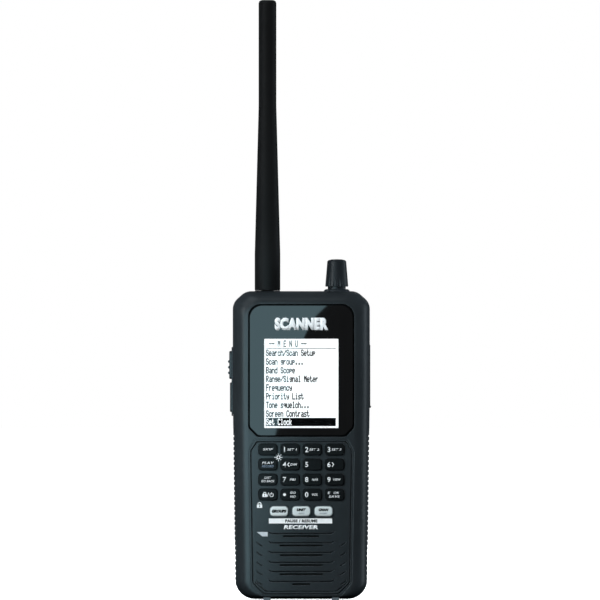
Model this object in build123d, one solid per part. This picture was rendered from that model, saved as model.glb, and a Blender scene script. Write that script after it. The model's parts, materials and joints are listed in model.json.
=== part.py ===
from build123d import *
import os
from math import cos, pi, sin

os.makedirs("parts", exist_ok=True)

# Handheld radio scanner. Millimetres, +Z up, the display side faces -Y.
# The origin is on the case centreline, at mid depth, on the plane the feet stand on.
# Pairs are a low and a high limit along one axis.

# ---------------------------------------------------------------- driving dimensions
# case envelope
CASE_TOP = 149.9
CASE_BASE = 0.8
CASE_DEPTH = 33.0
HALF_W_TOP = 33.2
HALF_W_BASE = 31.95
TAPER_END_Z = 100.0
TAPER_BLEND_R = 200.0
SHOULDER_X = 6.4
SHOULDER_Z = 5.6
SHOULDER_R = 7.0
BASE_CORNER_R = 9.5
SPLIT_Y = 7.2
SEAM = 0.16
SEAM_DEPTH = 0.35
WALL = 2.2
BEYOND = 1.0

FRONT_Y = -CASE_DEPTH / 2
BACK_Y = CASE_DEPTH / 2

# rounding of the case: how far the sides, top and base are pulled in, and over what depth
FRONT_ROUND_DEPTH = 10.0
FRONT_ROUND = (7.4, 6.0, 1.8)
BACK_ROUND_DEPTH = 5.0
BACK_ROUND = (5.0, 4.0, 2.5)
FRONT_INNER_Y = -14.3
# steps of the front hollow: where each starts, and its pull-in at the sides, top and base
FRONT_HOLLOWS = ((FRONT_INNER_Y, 5.6, 4.6, 3.0), (-12.0, 3.7, 3.2, 2.6), (-8.5, WALL, WALL, WALL))
BACK_HOLLOW = (4.4, 4.0, 3.2)

# grip flutes down the long sides
GRIP_R = 0.55
GRIP_PITCH = 2.42
GRIP_Z = (9.5, 82.0)
GRIP_FRONT_Y = -15.0

# display lens, its recess and its window
LENS_HALF_W = 24.9
LENS_Z = (80.15, 142.95)
LENS_CUT_X = 4.2
LENS_CUT_Z = 4.4
LENS_TOP_R = 6.0
LENS_LOW_R = 2.4
LENS_GAP = 0.8
LENS_PROUD = 0.1
LENS_EDGE = 0.3
LENS_SEAT_Y = -14.9
GASKET_THICK = 0.2
WINDOW_X = (-19.4, 19.4)
WINDOW_Z = (81.8, 128.2)

# keypad and speaker panel
PANEL_Y = -15.9
PANEL_LEDGE_Y = -16.3
PANEL_LEDGE = 0.9
PANEL_LINE_W = 0.6
PANEL_LINE_DEPTH = 0.7
PANEL_INNER_LINE = 1.2
PANEL_INNER_LINE_TOP_Z = 9.4
LINE_FLOOR_W = 0.08

# keys
KEY_PITCH_X = 10.75
KEY_ROWS_Z = (73.3, 66.05, 58.75, 51.5)
KEY_SIZE = (9.05, 5.5, 1.5)
KEY_EDGE = 0.35
KEY_GAP = 0.18
KEY_FACE_Y = -17.25
SOFT_KEY_PITCH_X = 10.75
SOFT_KEY_Z = 43.4
SOFT_KEY_SIZE = (8.6, 4.75, 1.7)
SOFT_KEY_EDGE = 0.6
SOFT_KEY_GAP = 0.35
SOFT_KEY_FACE_Y = -17.5
KEY_FLANGE = 0.5
KEY_FLANGE_Y = (-14.1, -13.5)
MAT_X = (-21.9, 21.9)
MAT_Z = (39.6, 77.4)
MAT_FRONT_Y = -12.5
DOME_TOP_Y = -12.9
DOME_R = (2.4, 1.7)
ALERT_GAP = 0.06
ALERT_PROUD = 0.15

# display module
GLASS = ((-18.9, 18.9), (-14.75, -14.1), (82.2, 127.8))
DISPLAY_BODY = ((-21.0, 21.0), (-14.1, -12.0), (80.4, 130.0))
DISPLAY_FRAME = ((-22.0, 22.0), (-14.05, -11.6), (79.4, 131.0))
DISPLAY_FRAME_HOLE = ((-21.1, 21.1), (-14.5, -11.95), (80.3, 130.1))

# boards
BOARD_THICK = 1.2
DISPLAY_BOARD_Y = -11.6
DISPLAY_BOARD_X = (-26.6, 26.6)
DISPLAY_BOARD_Z = (38.8, 137.5)
MAIN_BOARD_Y = 2.6
MAIN_BOARD_X = (-23.6, 23.6)
MAIN_BOARD_Z = (78.2, 140.3)
MAIN_BOARD_WINGS = ((-27.8, 27.8), (88.0, 126.0))
BOARD_HOLE_R = 1.1
SHIELD_X = (-16.0, 16.0)
SHIELD_Z = (86.0, 128.0)
SHIELD_HEIGHT = 4.5
SHIELD_SKIN = 0.4
# packages on each board: limits in x, limits in z, thickness
MAIN_CHIPS = (
    ((-7.0, 7.0), (98.0, 112.0), 1.4),
    ((-14.0, -5.0), (118.0, 130.0), 1.2),
    ((8.0, 15.0), (84.0, 91.0), 1.2),
)
DISPLAY_CHIPS = (((-12.0, -4.0), (60.0, 68.0), 1.2), ((4.0, 10.0), (46.0, 52.0), 1.2))
SOCKET_SKIN = 0.35
USB_X = (22.4, 31.7)
USB_Z = (110.6, 118.4)
USB_DEPTH = 4.0
USB_BACK = 1.6
USB_TONGUE_Z = (112.0, 117.0)
CARD_X = (15.5, 31.0)
CARD_Z = (96.4, 109.0)
CARD_DEPTH = 1.6
CARD_BACK = 1.5
CARD_CLEAR = 0.1
SWITCH_X = (-29.4, -26.0)
SWITCH_HALF_H = 3.2
PLUNGER_R = 0.9
PLUNGER_OUT = 0.65

# pillars and screws
FRONT_BOSSES = ((-24.4, 50.0), (24.4, 50.0), (-24.0, 134.6), (24.0, 134.6))
MAIN_BOSSES = ((-21.0, 81.5), (21.0, 81.5), (-21.0, 137.0), (21.0, 137.0))
CASE_SCREWS = ((-27.3, 136.0), (27.3, 136.0), (-27.3, 80.0), (27.3, 80.0), (-22.0, 13.4), (22.0, 13.4))
FRONT_BOSS_R = 2.2
MAIN_BOSS_R = 2.3
PILLAR_R = 2.9
REAR_PILLAR_R = 3.1
PILLAR_FRONT_Y = -6.0
PILLAR_HOLE_Y = -5.0
PILLAR_RIB = 0.8
PILLAR_RIB_REACH = 5.0
PILLAR_RIB_FOOT_Z = 2.0
THREAD_FIT = 0.02
SCREW_CLEARANCE = 0.15
BOARD_SCREW_R = 0.9
BOARD_SCREW_HEAD = (1.8, 1.1)
BOARD_SCREW_LENGTH = 3.4
BOARD_SCREW_SLOT = (2.4, 0.5)
BOARD_HOLE_BACK_Y = 8.6
BOARD_HOLE_FRONT_Y = -13.9
CASE_SCREW_R = 1.25
CASE_SCREW_HEAD = (2.3, 1.6)
CASE_SCREW_EDGE = 0.5
CASE_SCREW_TIP_Y = -4.0
CASE_SCREW_CROSS = (2.4, 0.6)
SCREW_SEAT_Y = 12.6
SCREW_SINK_R = 2.6

# aerial and its socket
DECK_INNER_Z = CASE_TOP - WALL
ANTENNA_X = -16.4
ANTENNA_R = 6.2
ANTENNA_TIP_R = 4.3
ANTENNA_FOOT_Z = 150.3
ANTENNA_TAPER_Z = (168.0, 240.0)
ANTENNA_TOP_Z = 291.1
ANTENNA_FOOT_EDGE = 0.3
ANTENNA_TIP_EDGE = 1.5
THREAD_R = 3.175
THREAD_FIRST_Z = 152.2
THREAD_RINGS = 6
THREAD_STEP = 0.9
THREAD_GROOVE = (0.35, 0.25)
STUD_TOP_Z = 157.6
SOCKET_FLANGE = (4.6, 1.8)
SOCKET_TAIL = (2.0, 141.2)
SOCKET_BORE_R = 0.55
SOCKET_MOUTH = (2.1, 1.0)
PLUG_R = 4.4
PLUG_Z = (150.35, 160.2)
PLUG_CAVITY_TOP_Z = 158.2
PLUG_CLEARANCE = 0.12
PIN_R = 0.46
PIN_Z = (152.0, 158.6)
WASHER_R = 6.1
WASHER_Z = (CASE_TOP + 0.02, 150.26)

# knob and its encoder
KNOB_X = 17.2
KNOB_FOOT_Z = 150.7
KNOB_BOTTOM_Z = 152.1
KNOB_WAIST_Z = 159.2
KNOB_EDGE_Z = 164.3
KNOB_CROWN_Z = 165.4
KNOB_FOOT_R = 4.35
KNOB_BOTTOM_R = 5.6
KNOB_WAIST_R = 5.0
KNOB_TOP_R = 4.6
KNOB_CROWN_R = 2.6
KNOB_FLUTES = 14
KNOB_FLUTE_R = 0.75
KNOB_FLUTE_OUT = 0.35
KNOB_BUSH_ROOM = (3.75, 153.0)
COLLAR_R = (4.65, 6.25)
COLLAR_TOP_Z = 150.9
ENCODER_HALF = 5.9
ENCODER_LOW_Z = 141.4
BUSH_R = 3.5
BUSH_BORE_R = 2.9
BUSH_TOP_Z = 151.4
NUT = (4.4, 0.15)
ROTOR_R = 4.9
ROTOR_Z = (142.6, 145.0)
ROTOR_ROOM = (5.0, 142.2, 145.4)
SHAFT_R = 2.85
SHAFT_TAIL_R = 1.75
SHAFT_Z = (142.4, 145.9, 161.0)
SHAFT_FLAT_X = 1.15
KNOB_FLAT_X = 1.6
KNOB_FLAT_Z = 154.0
FLAT_CLEARANCE = 0.05

# earphone jack
JACK_X = 1.4
JACK_BODY = ((-4.0, 4.0), (-4.2, 2.4))
JACK_LOW_Z = 134.6
JACK_NECK_R = 2.7
JACK_BORE_R = 1.8
JACK_TOP_Z = 149.6
JACK_BORE_LENGTH = 13.6
JACK_GUIDE = (1.7, 0.45)

# side keys and the port cover
SIDE_Y = 0.5
FUNCTION_KEY_Z = (107.3, 120.9)
MENU_KEY_Z = (91.3, 105.7)
FUNCTION_KEY_X = -34.95
MENU_KEY_X = -34.6
SIDE_KEY_DEPTH = 7.2
SIDE_KEY_R = 1.4
SIDE_KEY_EDGE = 0.6
SIDE_KEY_GAP = 0.15
SIDE_KEY_FLANGE = 0.35
SIDE_KEY_FLANGE_X = (-31.0, -30.6)
RIDGE_R = 0.7
RIDGES_Z = (115.8, 113.0, 110.3)
BEZEL_Z = (89.4, 122.8)
BEZEL_DEPTH = 10.4
BEZEL_R = 2.2
BEZEL_X = (-33.8, -33.22)
BEZEL_BACK_X = -31.2
BEZEL_SEAT = (8.8, 0.9)
PORT_Z = (94.2, 123.9)
PORT_DEPTH = 9.4
PORT_RECESS_X = 32.1
PORT_RECESS_ROOM = (0.25, 0.15)
PORT_HOLE = (1.0, 1.2, 1.4)
PORT_HINGE = (33.2, 93.9)
PORT_HINGE_SEAT_R = 0.85
PORT_HINGE_R = 0.6
PORT_COVER_X = (32.2, 33.45)
PORT_COVER_GAP = 0.15
PORT_LIP = ((31.9, 32.3), 1.3, (96.9, 121.5))
FINGER_DIP_R = 2.0
FINGER_NOTCH_R = 1.2

# speaker and grille
SPEAKER_Z = 20.0
SPEAKER_R = 15.8
SPEAKER_RIM_Y = (-13.4, -12.2)
SPEAKER_RIM_W = 1.6
BOWL_TOP_R = 15.4
BOWL_LOW_R = 9.6
BOWL_DEPTH = 2.4
BOWL_MID_Y = -11.0
BOWL_SKIN = 0.4
MAGNET_R = 8.5
MAGNET_Y = (-10.2, -7.4)
CONE_FRONT_Y = -13.3
CONE_SKIN = 0.35
# radius and depth along the diaphragm, from its dome to its rim
CONE_PROFILE = ((0, 0.5), (3.6, 1.3), (4.2, 2.2), (12.6, 0.9), (13.4, 0.0), (14.05, 0.0))
MESH_R = 15.0
MESH_Y = (FRONT_INNER_Y + 0.02, FRONT_INNER_Y + 0.32)
GRILLE_LINES_Z = (32.6, 28.1, 23.4, 18.6, 14.2, 9.4)
GRILLE_SLOT_HALF = (8.8, 10.5, 10.5, 10.5, 10.5, 4.4)
GRILLE_SLOT_DROP = 1.25
GRILLE_SLOT_H = 0.95
GRILLE_LINE_HALF = 14.6
GRILLE_LINE_W = 0.7
GRILLE_LINE_DEPTH = 1.0
GRILLE_ARC_W = 0.7
GRILLE_ARC_DEPTH = 0.7

# battery compartment
CELL_R = 7.2
CELL_LENGTH = 49.2
CELL_EDGE = 0.6
CELL_Y = 7.05
CELL_NUB = (2.7, 1.2)
CELL_END_GAP = 2.3
CELL_PITCH = 14.6
TRAY_X = (-22.3, 22.3)
TRAY_Z = (18.5, 72.0)
TRAY_FRONT_Y = -0.5
TRAY_BACK_Y = 14.0
TRAY_WALL = 1.2
TRAY_LIP = 2.0
COVER_HALF_W = 27.0
COVER_Z = (10.0, 71.8)
COVER_CORNER_R = 3.0
COVER_THICK = 1.8
COVER_EDGE = 0.5
COVER_GAP = 0.25
COVER_SEAT_Y = 14.4
COVER_GRIPS = 5
COVER_GRIP_R = 0.55
COVER_GRIP_LENGTH = 18.0
COVER_GRIP_FIRST_Z = 16.0
COVER_GRIP_STEP = 2.0
HOOK_X = 7.2
HOOK_HALF_W = 1.4
HOOK_Y = (13.2, 14.8)
HOOK_Z = (69.6, 74.2)
HOOK_SLOT_HALF_W = 2.2
HOOK_SLOT_Y = (11.0, 14.95)
HOOK_SLOT_Z = (69.0, 75.6)
SNAP = ((-4.0, 4.0), (13.1, 14.8), (10.4, 11.8))
SNAP_NOTCH = ((-7.0, 7.0), (12.4, 14.8), (7.4, 13.0))
COVER_DIP_R = 5.0
COVER_DIP_OUT = 3.4
CONTACT_HALF = 5.4
CONTACT_DEPTH = 5.0
CONTACT_THICK = 0.3
SPRING_HEIGHT = 1.75
SPRING_STEM_R = 0.5
SPRING_RINGS = 3
SPRING_RING_R = 3.4
SPRING_RING_SHRINK = 0.7
SPRING_WIRE_R = 0.3
SPRING_FIRST_Z = 0.4
SPRING_STEP = 0.62
SPRING_BAR = (0.5, 0.35)

# threaded inserts for a belt clip
INSERTS = ((-9.0, 124.0), (9.0, 124.0))
INSERT_R = 2.2
INSERT_BORE_R = 1.25
INSERT_Y = (11.3, BACK_Y - 0.2)
INSERT_BOSS_R = 3.6
INSERT_BOSS_Y = 10.6
INSERT_HOLE_Y = 11.2

# feet
FOOT_X = 16.6
FOOT_W = 3.4
FOOT_Y = (-15.3, 13.0)
FOOT_TOP_Z = 1.55
FOOT_TOE_Z = 2.5
FOOT_TOE_Y = -12.6
FOOT_EDGE = 0.35
FOOT_GAP = 0.03


# ---------------------------------------------------------------- helpers
def front_plane(y):
    """Plane at depth y facing the display side: local x is +X, local y is +Z."""
    return Plane(origin=(0, y, 0), x_dir=(1, 0, 0), z_dir=(0, -1, 0))


def slab(sketch, y_front, y_back):
    """A sketch in X and Z, made solid between two depths."""
    return extrude(front_plane(y_back) * sketch, y_back - y_front)


def side_slab(sketch, x_low, x_high):
    """A sketch in Y and Z, made solid between two places along X."""
    plane = Plane(origin=(x_low, 0, 0), x_dir=(0, 1, 0), z_dir=(1, 0, 0))
    return extrude(plane * sketch, x_high - x_low)


def block(x, y, z):
    """Box between two limits on each axis."""
    box = Box(x[1] - x[0], y[1] - y[0], z[1] - z[0])
    return Pos((x[0] + x[1]) / 2, (y[0] + y[1]) / 2, (z[0] + z[1]) / 2) * box


def round_block(x, y, z, radius):
    """Block whose edges along Y are rounded."""
    face = RectangleRounded(x[1] - x[0], z[1] - z[0], radius)
    return slab(Pos((x[0] + x[1]) / 2, (z[0] + z[1]) / 2) * face, y[0], y[1])


def around(middle, half):
    """Limits at an equal distance each side of a place."""
    return (middle - half, middle + half)


def upright(radius, z_low, z_high, x=0, y=0):
    """Cylinder along Z."""
    rod = Cylinder(radius, z_high - z_low)
    return Pos(x, y, (z_low + z_high) / 2) * rod


def depth_rod(radius, y_low, y_high, x, z):
    """Cylinder along Y."""
    rod = Rot(90, 0, 0) * Cylinder(radius, y_high - y_low)
    return Pos(x, (y_low + y_high) / 2, z) * rod


def turned(points, x=0, y=0):
    """Solid of revolution about a vertical line; points are radius and height."""
    face = Plane.XZ * make_face(Polyline(*points, close=True))
    return Pos(x, y, 0) * revolve(face, Axis.Z)


def mirrored(points):
    """Close a right-hand outline with its mirror image."""
    return list(points) + [(-x, z) for x, z in reversed(points)]


def rounded_outline(points, radii):
    """Face inside a closed outline, each corner with its own radius."""
    return make_face(FilletPolyline(*points, radius=list(radii), close=True))


def v_groove(wide, narrow, depth):
    """Cutter that narrows from one face on the panel to another below it."""
    surface = loft([front_plane(PANEL_Y) * wide, front_plane(PANEL_Y + depth) * narrow])
    return surface + slab(wide, FRONT_Y - BEYOND, PANEL_Y)


def half_width(z):
    """Half width of the case at a height."""
    share = min(1.0, (z - CASE_BASE) / (TAPER_END_Z - CASE_BASE))
    return HALF_W_BASE + (HALF_W_TOP - HALF_W_BASE) * share


def case_face(side, top, base):
    """Front view of the case, pulled in by an amount at the sides, top and base."""
    shoulder_share = 0.8
    right = [
        (HALF_W_BASE - side, CASE_BASE + base),
        (HALF_W_TOP - side, TAPER_END_Z),
        (HALF_W_TOP - side, CASE_TOP - SHOULDER_Z - top * shoulder_share),
        (HALF_W_TOP - SHOULDER_X - side * shoulder_share, CASE_TOP - top),
    ]
    corner_share = 0.4
    radii = [BASE_CORNER_R - side * corner_share, TAPER_BLEND_R, SHOULDER_R, SHOULDER_R]
    return rounded_outline(mirrored(right), radii + radii[::-1])


def rounded_end(y_start, y_end, pull_in, steps=5):
    """Case stretch whose outline shrinks along a quarter ellipse towards y_end."""
    sections = []
    for i in range(steps):
        angle = pi / 2 * i / (steps - 1)
        shrink = [amount * (1 - cos(angle)) for amount in pull_in]
        y = y_start + (y_end - y_start) * sin(angle)
        sections.append(front_plane(y) * case_face(*shrink))
    return loft(sections)


def grip_cutters(y_low, y_high):
    """Shallow flutes down both long sides."""
    flutes = []
    count = int((GRIP_Z[1] - GRIP_Z[0]) / GRIP_PITCH) + 1
    for i in range(count):
        z = GRIP_Z[0] + i * GRIP_PITCH
        for side in (-1, 1):
            flutes.append(depth_rod(GRIP_R, y_low, y_high, side * (half_width(z) + 0.1), z))
    return flutes


def seam_cutter(y_low, y_high):
    """Fine groove round the case where its two halves meet."""
    deep = SEAM_DEPTH
    ring = case_face(-BEYOND, -BEYOND, -BEYOND) - case_face(deep, deep, deep)
    return slab(ring, y_low, y_high)


def save(node, shape):
    """Write one node."""
    export_step(shape, f"parts/{node}.step")


def group(shapes):
    """Several separate solids in one node."""
    return Compound(children=[solid for shape in shapes for solid in shape.solids()])


# ---------------------------------------------------------------- front of the case
def lens_face(grow=0.0):
    """Outline of the display lens."""
    w = LENS_HALF_W + grow
    low = LENS_Z[0] - grow
    top = LENS_Z[1] + grow
    right = [(w - LENS_CUT_X, low), (w, low + LENS_CUT_Z), (w, top)]
    radii = [LENS_LOW_R, LENS_LOW_R, LENS_TOP_R]
    return rounded_outline(mirrored(right), radii + radii[::-1])


def panel_face(grow=0.0):
    """Outline of the sunken keypad and speaker field."""
    right = [
        (18.4 + grow, 3.1 - grow),
        (23.7 + grow, 8.85),
        (24.7 + grow, 72.6),
        (21.8 + grow, 77.3 + grow),
    ]
    radii = [3.0, 2.0, 1.6, 1.2]
    return rounded_outline(mirrored(right), radii + radii[::-1])


def alert_face(grow=0.0):
    """Outline of the alert light window."""
    points = [
        (-21.5 - 2 * grow, 33.4 + grow),
        (-16.3 + grow, 33.4 + grow),
        (-16.3 + grow, 31.3 - grow),
        (-18.9 - grow, 31.3 - grow),
    ]
    return make_face(Polyline(*points, close=True))


def key_sites():
    """Names and centres of the black keys, row by row."""
    rows = (
        ("key_skip", "key_1", "key_2", "key_3"),
        ("key_replay", "key_4", "key_5", "key_6"),
        ("key_list", "key_7", "key_8", "key_9"),
        ("key_power", "key_point", "key_0", "key_enter"),
    )
    for names, z in zip(rows, KEY_ROWS_Z):
        for column, name in enumerate(names):
            yield name, (column - 1.5) * KEY_PITCH_X, z


def soft_key_sites():
    """Names and centres of the three silver keys."""
    for column, name in enumerate(("soft_key_left", "soft_key_middle", "soft_key_right")):
        yield name, (column - 1) * SOFT_KEY_PITCH_X, SOFT_KEY_Z


def key_outline(size, grow=0.0):
    """Rounded outline of a key, or of the hole or flange around it."""
    width, height, radius = size
    return RectangleRounded(width + 2 * grow, height + 2 * grow, radius + grow)


def line_groove(z, width):
    """Outline of a long line whose ends turn up."""
    half = GRILLE_LINE_HALF
    low = z - width / 2
    high = z + width / 2
    rise = 1.2
    right = [
        (half, low),
        (half + rise + width / 2, low + rise),
        (half + rise - width / 2, low + rise),
        (half - 0.4, high),
    ]
    return make_face(Polyline(*mirrored(right), close=True))


def arc_groove(z, side, width):
    """Outline of a short arc beside a line, falling towards the middle."""
    route = [(side * 21.6, z + 0.5), (side * 20.4, z - 0.7), (side * 18.7, z - 1.5)]
    upper = ThreePointArc(*[(x, height + width / 2) for x, height in route])
    lower = ThreePointArc(*[(x, height - width / 2) for x, height in reversed(route)])
    return make_face([upper, Line(upper @ 1, lower @ 0), lower, Line(lower @ 1, upper @ 0)])


def grille_grooves():
    """V grooves over and beside the speaker slots."""
    cutters = []
    for z in GRILLE_LINES_Z:
        wide, narrow = line_groove(z, GRILLE_LINE_W), line_groove(z, LINE_FLOOR_W)
        cutters.append(v_groove(wide, narrow, GRILLE_LINE_DEPTH))
    for z in GRILLE_LINES_Z[1:]:
        for side in (-1, 1):
            wide, narrow = arc_groove(z, side, GRILLE_ARC_W), arc_groove(z, side, LINE_FLOOR_W)
            cutters.append(v_groove(wide, narrow, GRILLE_ARC_DEPTH))
    return cutters


def panel_line(inset):
    """V groove that follows the panel's outline at an inset."""
    middle = inset + PANEL_LINE_W / 2
    outer = v_groove(panel_face(-inset), panel_face(-middle + LINE_FLOOR_W / 2), PANEL_LINE_DEPTH)
    inner_faces = [panel_face(-inset - PANEL_LINE_W), panel_face(-middle - LINE_FLOOR_W / 2)]
    depths = (PANEL_Y, PANEL_Y + PANEL_LINE_DEPTH)
    core = loft([front_plane(y) * face for y, face in zip(depths, inner_faces)])
    return outer - core - slab(inner_faces[0], FRONT_Y - 2 * BEYOND, PANEL_Y)


def panel_lines():
    """Fine grooves at the foot of the panel's step and inside its lower edge."""
    low_band = block((-CASE_TOP, CASE_TOP), (FRONT_Y - BEYOND, 0), (0, PANEL_INNER_LINE_TOP_Z))
    return [panel_line(0.0), panel_line(PANEL_INNER_LINE) & low_band]


def front_outer():
    """Outer form of the front half."""
    flank_y = FRONT_Y + FRONT_ROUND_DEPTH
    return rounded_end(flank_y, FRONT_Y, FRONT_ROUND) + slab(case_face(0, 0, 0), flank_y, SPLIT_Y)


def front_bosses():
    """Screw pillars and the ribs that tie them to the side walls."""
    pillars = [depth_rod(FRONT_BOSS_R, FRONT_INNER_Y - 0.3, DISPLAY_BOARD_Y, x, z) for x, z in FRONT_BOSSES]
    depth = (PILLAR_FRONT_Y, SPLIT_Y)
    for x, z in CASE_SCREWS:
        pillars.append(depth_rod(PILLAR_R, *depth, x, z))
        if abs(x) > MAIN_BOARD_X[1]:
            reach = sorted((x, x + (PILLAR_RIB_REACH if x > 0 else -PILLAR_RIB_REACH)))
            pillars.append(block(reach, depth, around(z, PILLAR_RIB)))
        else:
            pillars.append(block(around(x, PILLAR_RIB), depth, (PILLAR_RIB_FOOT_Z, z)))
    return pillars


def front_openings():
    """Everything cut through the front half."""
    near = FRONT_Y - BEYOND
    through = FRONT_INNER_Y + 0.3
    cuts = [slab(lens_face(LENS_GAP), near, LENS_SEAT_Y), block(WINDOW_X, (near, through), WINDOW_Z)]
    cuts.append(slab(panel_face(PANEL_LEDGE), near, PANEL_LEDGE_Y))
    cuts.append(slab(panel_face(), near, PANEL_Y))
    for _, x, z in key_sites():
        cuts.append(slab(Pos(x, z) * key_outline(KEY_SIZE, KEY_GAP), near, through))
    for _, x, z in soft_key_sites():
        cuts.append(slab(Pos(x, z) * key_outline(SOFT_KEY_SIZE, SOFT_KEY_GAP), near, through))
    for z, half in zip(GRILLE_LINES_Z, GRILLE_SLOT_HALF):
        slot = SlotOverall(2 * half, GRILLE_SLOT_H)
        cuts.append(slab(Pos(0, z - GRILLE_SLOT_DROP) * slot, near, through))
    cuts.append(slab(alert_face(ALERT_GAP), near, through))
    return cuts


def top_openings():
    """Holes in the top deck for the aerial socket, knob bush and earphone jack."""
    low, high = DECK_INNER_Z - BEYOND, CASE_TOP + BEYOND
    holes = ((THREAD_R, ANTENNA_X), (BUSH_R, KNOB_X), (JACK_NECK_R, JACK_X))
    cuts = [upright(radius + 0.1, low, high, x) for radius, x in holes]
    guide_half, guide_depth = JACK_GUIDE
    cuts.append(block(around(JACK_X, guide_half), (FRONT_Y, 0), (CASE_TOP - guide_depth, high)))
    return cuts


def side_openings():
    """Openings in the side walls for the side keys and the port cover."""
    outside = HALF_W_TOP + 5
    inside = HALF_W_TOP - 5
    bezel_half_depth, bezel_rim = BEZEL_SEAT[0] / 2 + 0.1, BEZEL_SEAT[1] - 0.1
    key_hole_z = (BEZEL_Z[0] + bezel_rim, BEZEL_Z[1] - bezel_rim)
    cuts = [block((-outside, -inside), around(SIDE_Y, bezel_half_depth), key_hole_z)]
    low, high = PORT_Z
    half = PORT_DEPTH / 2
    room_low, room_high = PORT_RECESS_ROOM
    cuts.append(block((PORT_RECESS_X, outside), around(SIDE_Y, half), (low - room_low, high + room_high)))
    rim, rim_low, rim_high = PORT_HOLE
    cuts.append(block((inside, outside), around(SIDE_Y, half - rim), (low + rim_low, high - rim_high)))
    hinge_seat = Rot(90, 0, 0) * Cylinder(PORT_HINGE_SEAT_R, PORT_DEPTH)
    cuts.append(Pos(PORT_HINGE[0], SIDE_Y, PORT_HINGE[1]) * hinge_seat)
    cuts.append(Pos(HALF_W_TOP + 1.2, SIDE_Y, high + 0.6) * Sphere(FINGER_DIP_R))
    return cuts


def foot_rail(side, gap=0.0):
    """One rubber rail under the case, with a toe turned up at the display side."""
    x = around(side * FOOT_X, FOOT_W / 2 + gap)
    y_low, y_high = FOOT_Y
    rail = block(x, (y_low - gap, y_high + gap), (0, FOOT_TOP_Z + gap))
    return rail + block(x, (y_low - gap, FOOT_TOE_Y + gap), (0, FOOT_TOE_Z + gap))


def foot_slots():
    """Slots under the case for both rails."""
    return [foot_rail(side, FOOT_GAP) for side in (-1, 1)]


def make_front_housing():
    """Front half of the case."""
    outer = front_outer()
    body = outer
    for y, side, top, base in FRONT_HOLLOWS:
        body -= slab(case_face(side, top, base), y, SPLIT_Y + BEYOND)
    body += front_bosses()
    body &= outer
    body -= front_openings()
    body -= top_openings()
    body -= side_openings()
    body -= foot_slots()
    body -= grille_grooves()
    body -= panel_lines()
    body -= grip_cutters(GRIP_FRONT_Y, SPLIT_Y + BEYOND)
    body -= seam_cutter(SPLIT_Y - SEAM, SPLIT_Y + BEYOND)
    for x, z in FRONT_BOSSES:
        body -= depth_rod(BOARD_SCREW_R + THREAD_FIT, BOARD_HOLE_FRONT_Y, DISPLAY_BOARD_Y + BEYOND, x, z)
    for x, z in CASE_SCREWS:
        body -= depth_rod(CASE_SCREW_R + THREAD_FIT, PILLAR_HOLE_Y, SPLIT_Y + BEYOND, x, z)
    return body


def make_lens():
    """Clear hard window over the display, with softened front edges."""
    lens = slab(lens_face(), FRONT_Y - LENS_PROUD, LENS_SEAT_Y - GASKET_THICK)
    return chamfer(lens.faces().sort_by(Axis.Y)[0].edges(), LENS_EDGE)


def make_lens_gasket():
    """Black foam seal that the lens is bonded to."""
    ring = slab(lens_face(LENS_GAP - 0.03), LENS_SEAT_Y - GASKET_THICK, LENS_SEAT_Y)
    return ring - block(WINDOW_X, (FRONT_Y, 0), WINDOW_Z)


def make_key(x, z, size, face_y, edge):
    """Keycap with a hidden flange that keeps it behind the front wall."""
    cap = slab(Pos(x, z) * key_outline(size), face_y, KEY_FLANGE_Y[0])
    cap = fillet(cap.faces().sort_by(Axis.Y)[0].edges(), edge)
    return cap + slab(Pos(x, z) * key_outline(size, KEY_FLANGE), *KEY_FLANGE_Y)


def make_keypad_mat():
    """Rubber mat with one collapsing dome behind each key."""
    mat = round_block(MAT_X, (MAT_FRONT_Y, DISPLAY_BOARD_Y), MAT_Z, 2.0)
    for _, x, z in list(key_sites()) + list(soft_key_sites()):
        dome = Rot(90, 0, 0) * Cone(*DOME_R, MAT_FRONT_Y - DOME_TOP_Y)
        mat += Pos(x, (MAT_FRONT_Y + DOME_TOP_Y) / 2, z) * dome
    return mat


def make_alert_lens():
    """White light window at the upper left of the grille."""
    return slab(alert_face(), PANEL_Y - ALERT_PROUD, FRONT_INNER_Y)


# ---------------------------------------------------------------- display and boards
def make_lcd_module():
    """Display glass on its backlight."""
    return block(*GLASS) + block(*DISPLAY_BODY)


def make_lcd_frame():
    """Pressed metal frame around the display module."""
    return block(*DISPLAY_FRAME) - block(*DISPLAY_FRAME_HOLE)


def make_display_board():
    """Board that carries the keypad mat and the display."""
    y = (DISPLAY_BOARD_Y, DISPLAY_BOARD_Y + BOARD_THICK)
    board = round_block(DISPLAY_BOARD_X, y, DISPLAY_BOARD_Z, 2.0)
    return board - [depth_rod(BOARD_HOLE_R, y[0] - BEYOND, y[1] + BEYOND, x, z) for x, z in FRONT_BOSSES]


def make_main_board():
    """Rear board with the radio, sockets and side switches."""
    y = (MAIN_BOARD_Y, MAIN_BOARD_Y + BOARD_THICK)
    wings_x, wings_z = MAIN_BOARD_WINGS
    board = round_block(MAIN_BOARD_X, y, MAIN_BOARD_Z, 1.0) + block(wings_x, y, wings_z)
    return board - [depth_rod(BOARD_HOLE_R, y[0] - BEYOND, y[1] + BEYOND, x, z) for x, z in MAIN_BOSSES]


def make_rf_shield():
    """Thin metal can over the radio circuits."""
    foot = MAIN_BOARD_Y + BOARD_THICK
    skin = SHIELD_SKIN
    hollow_x = (SHIELD_X[0] + skin, SHIELD_X[1] - skin)
    hollow_z = (SHIELD_Z[0] + skin, SHIELD_Z[1] - skin)
    can = block(SHIELD_X, (foot, foot + SHIELD_HEIGHT), SHIELD_Z)
    return can - block(hollow_x, (foot - BEYOND, foot + SHIELD_HEIGHT - skin), hollow_z)


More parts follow.
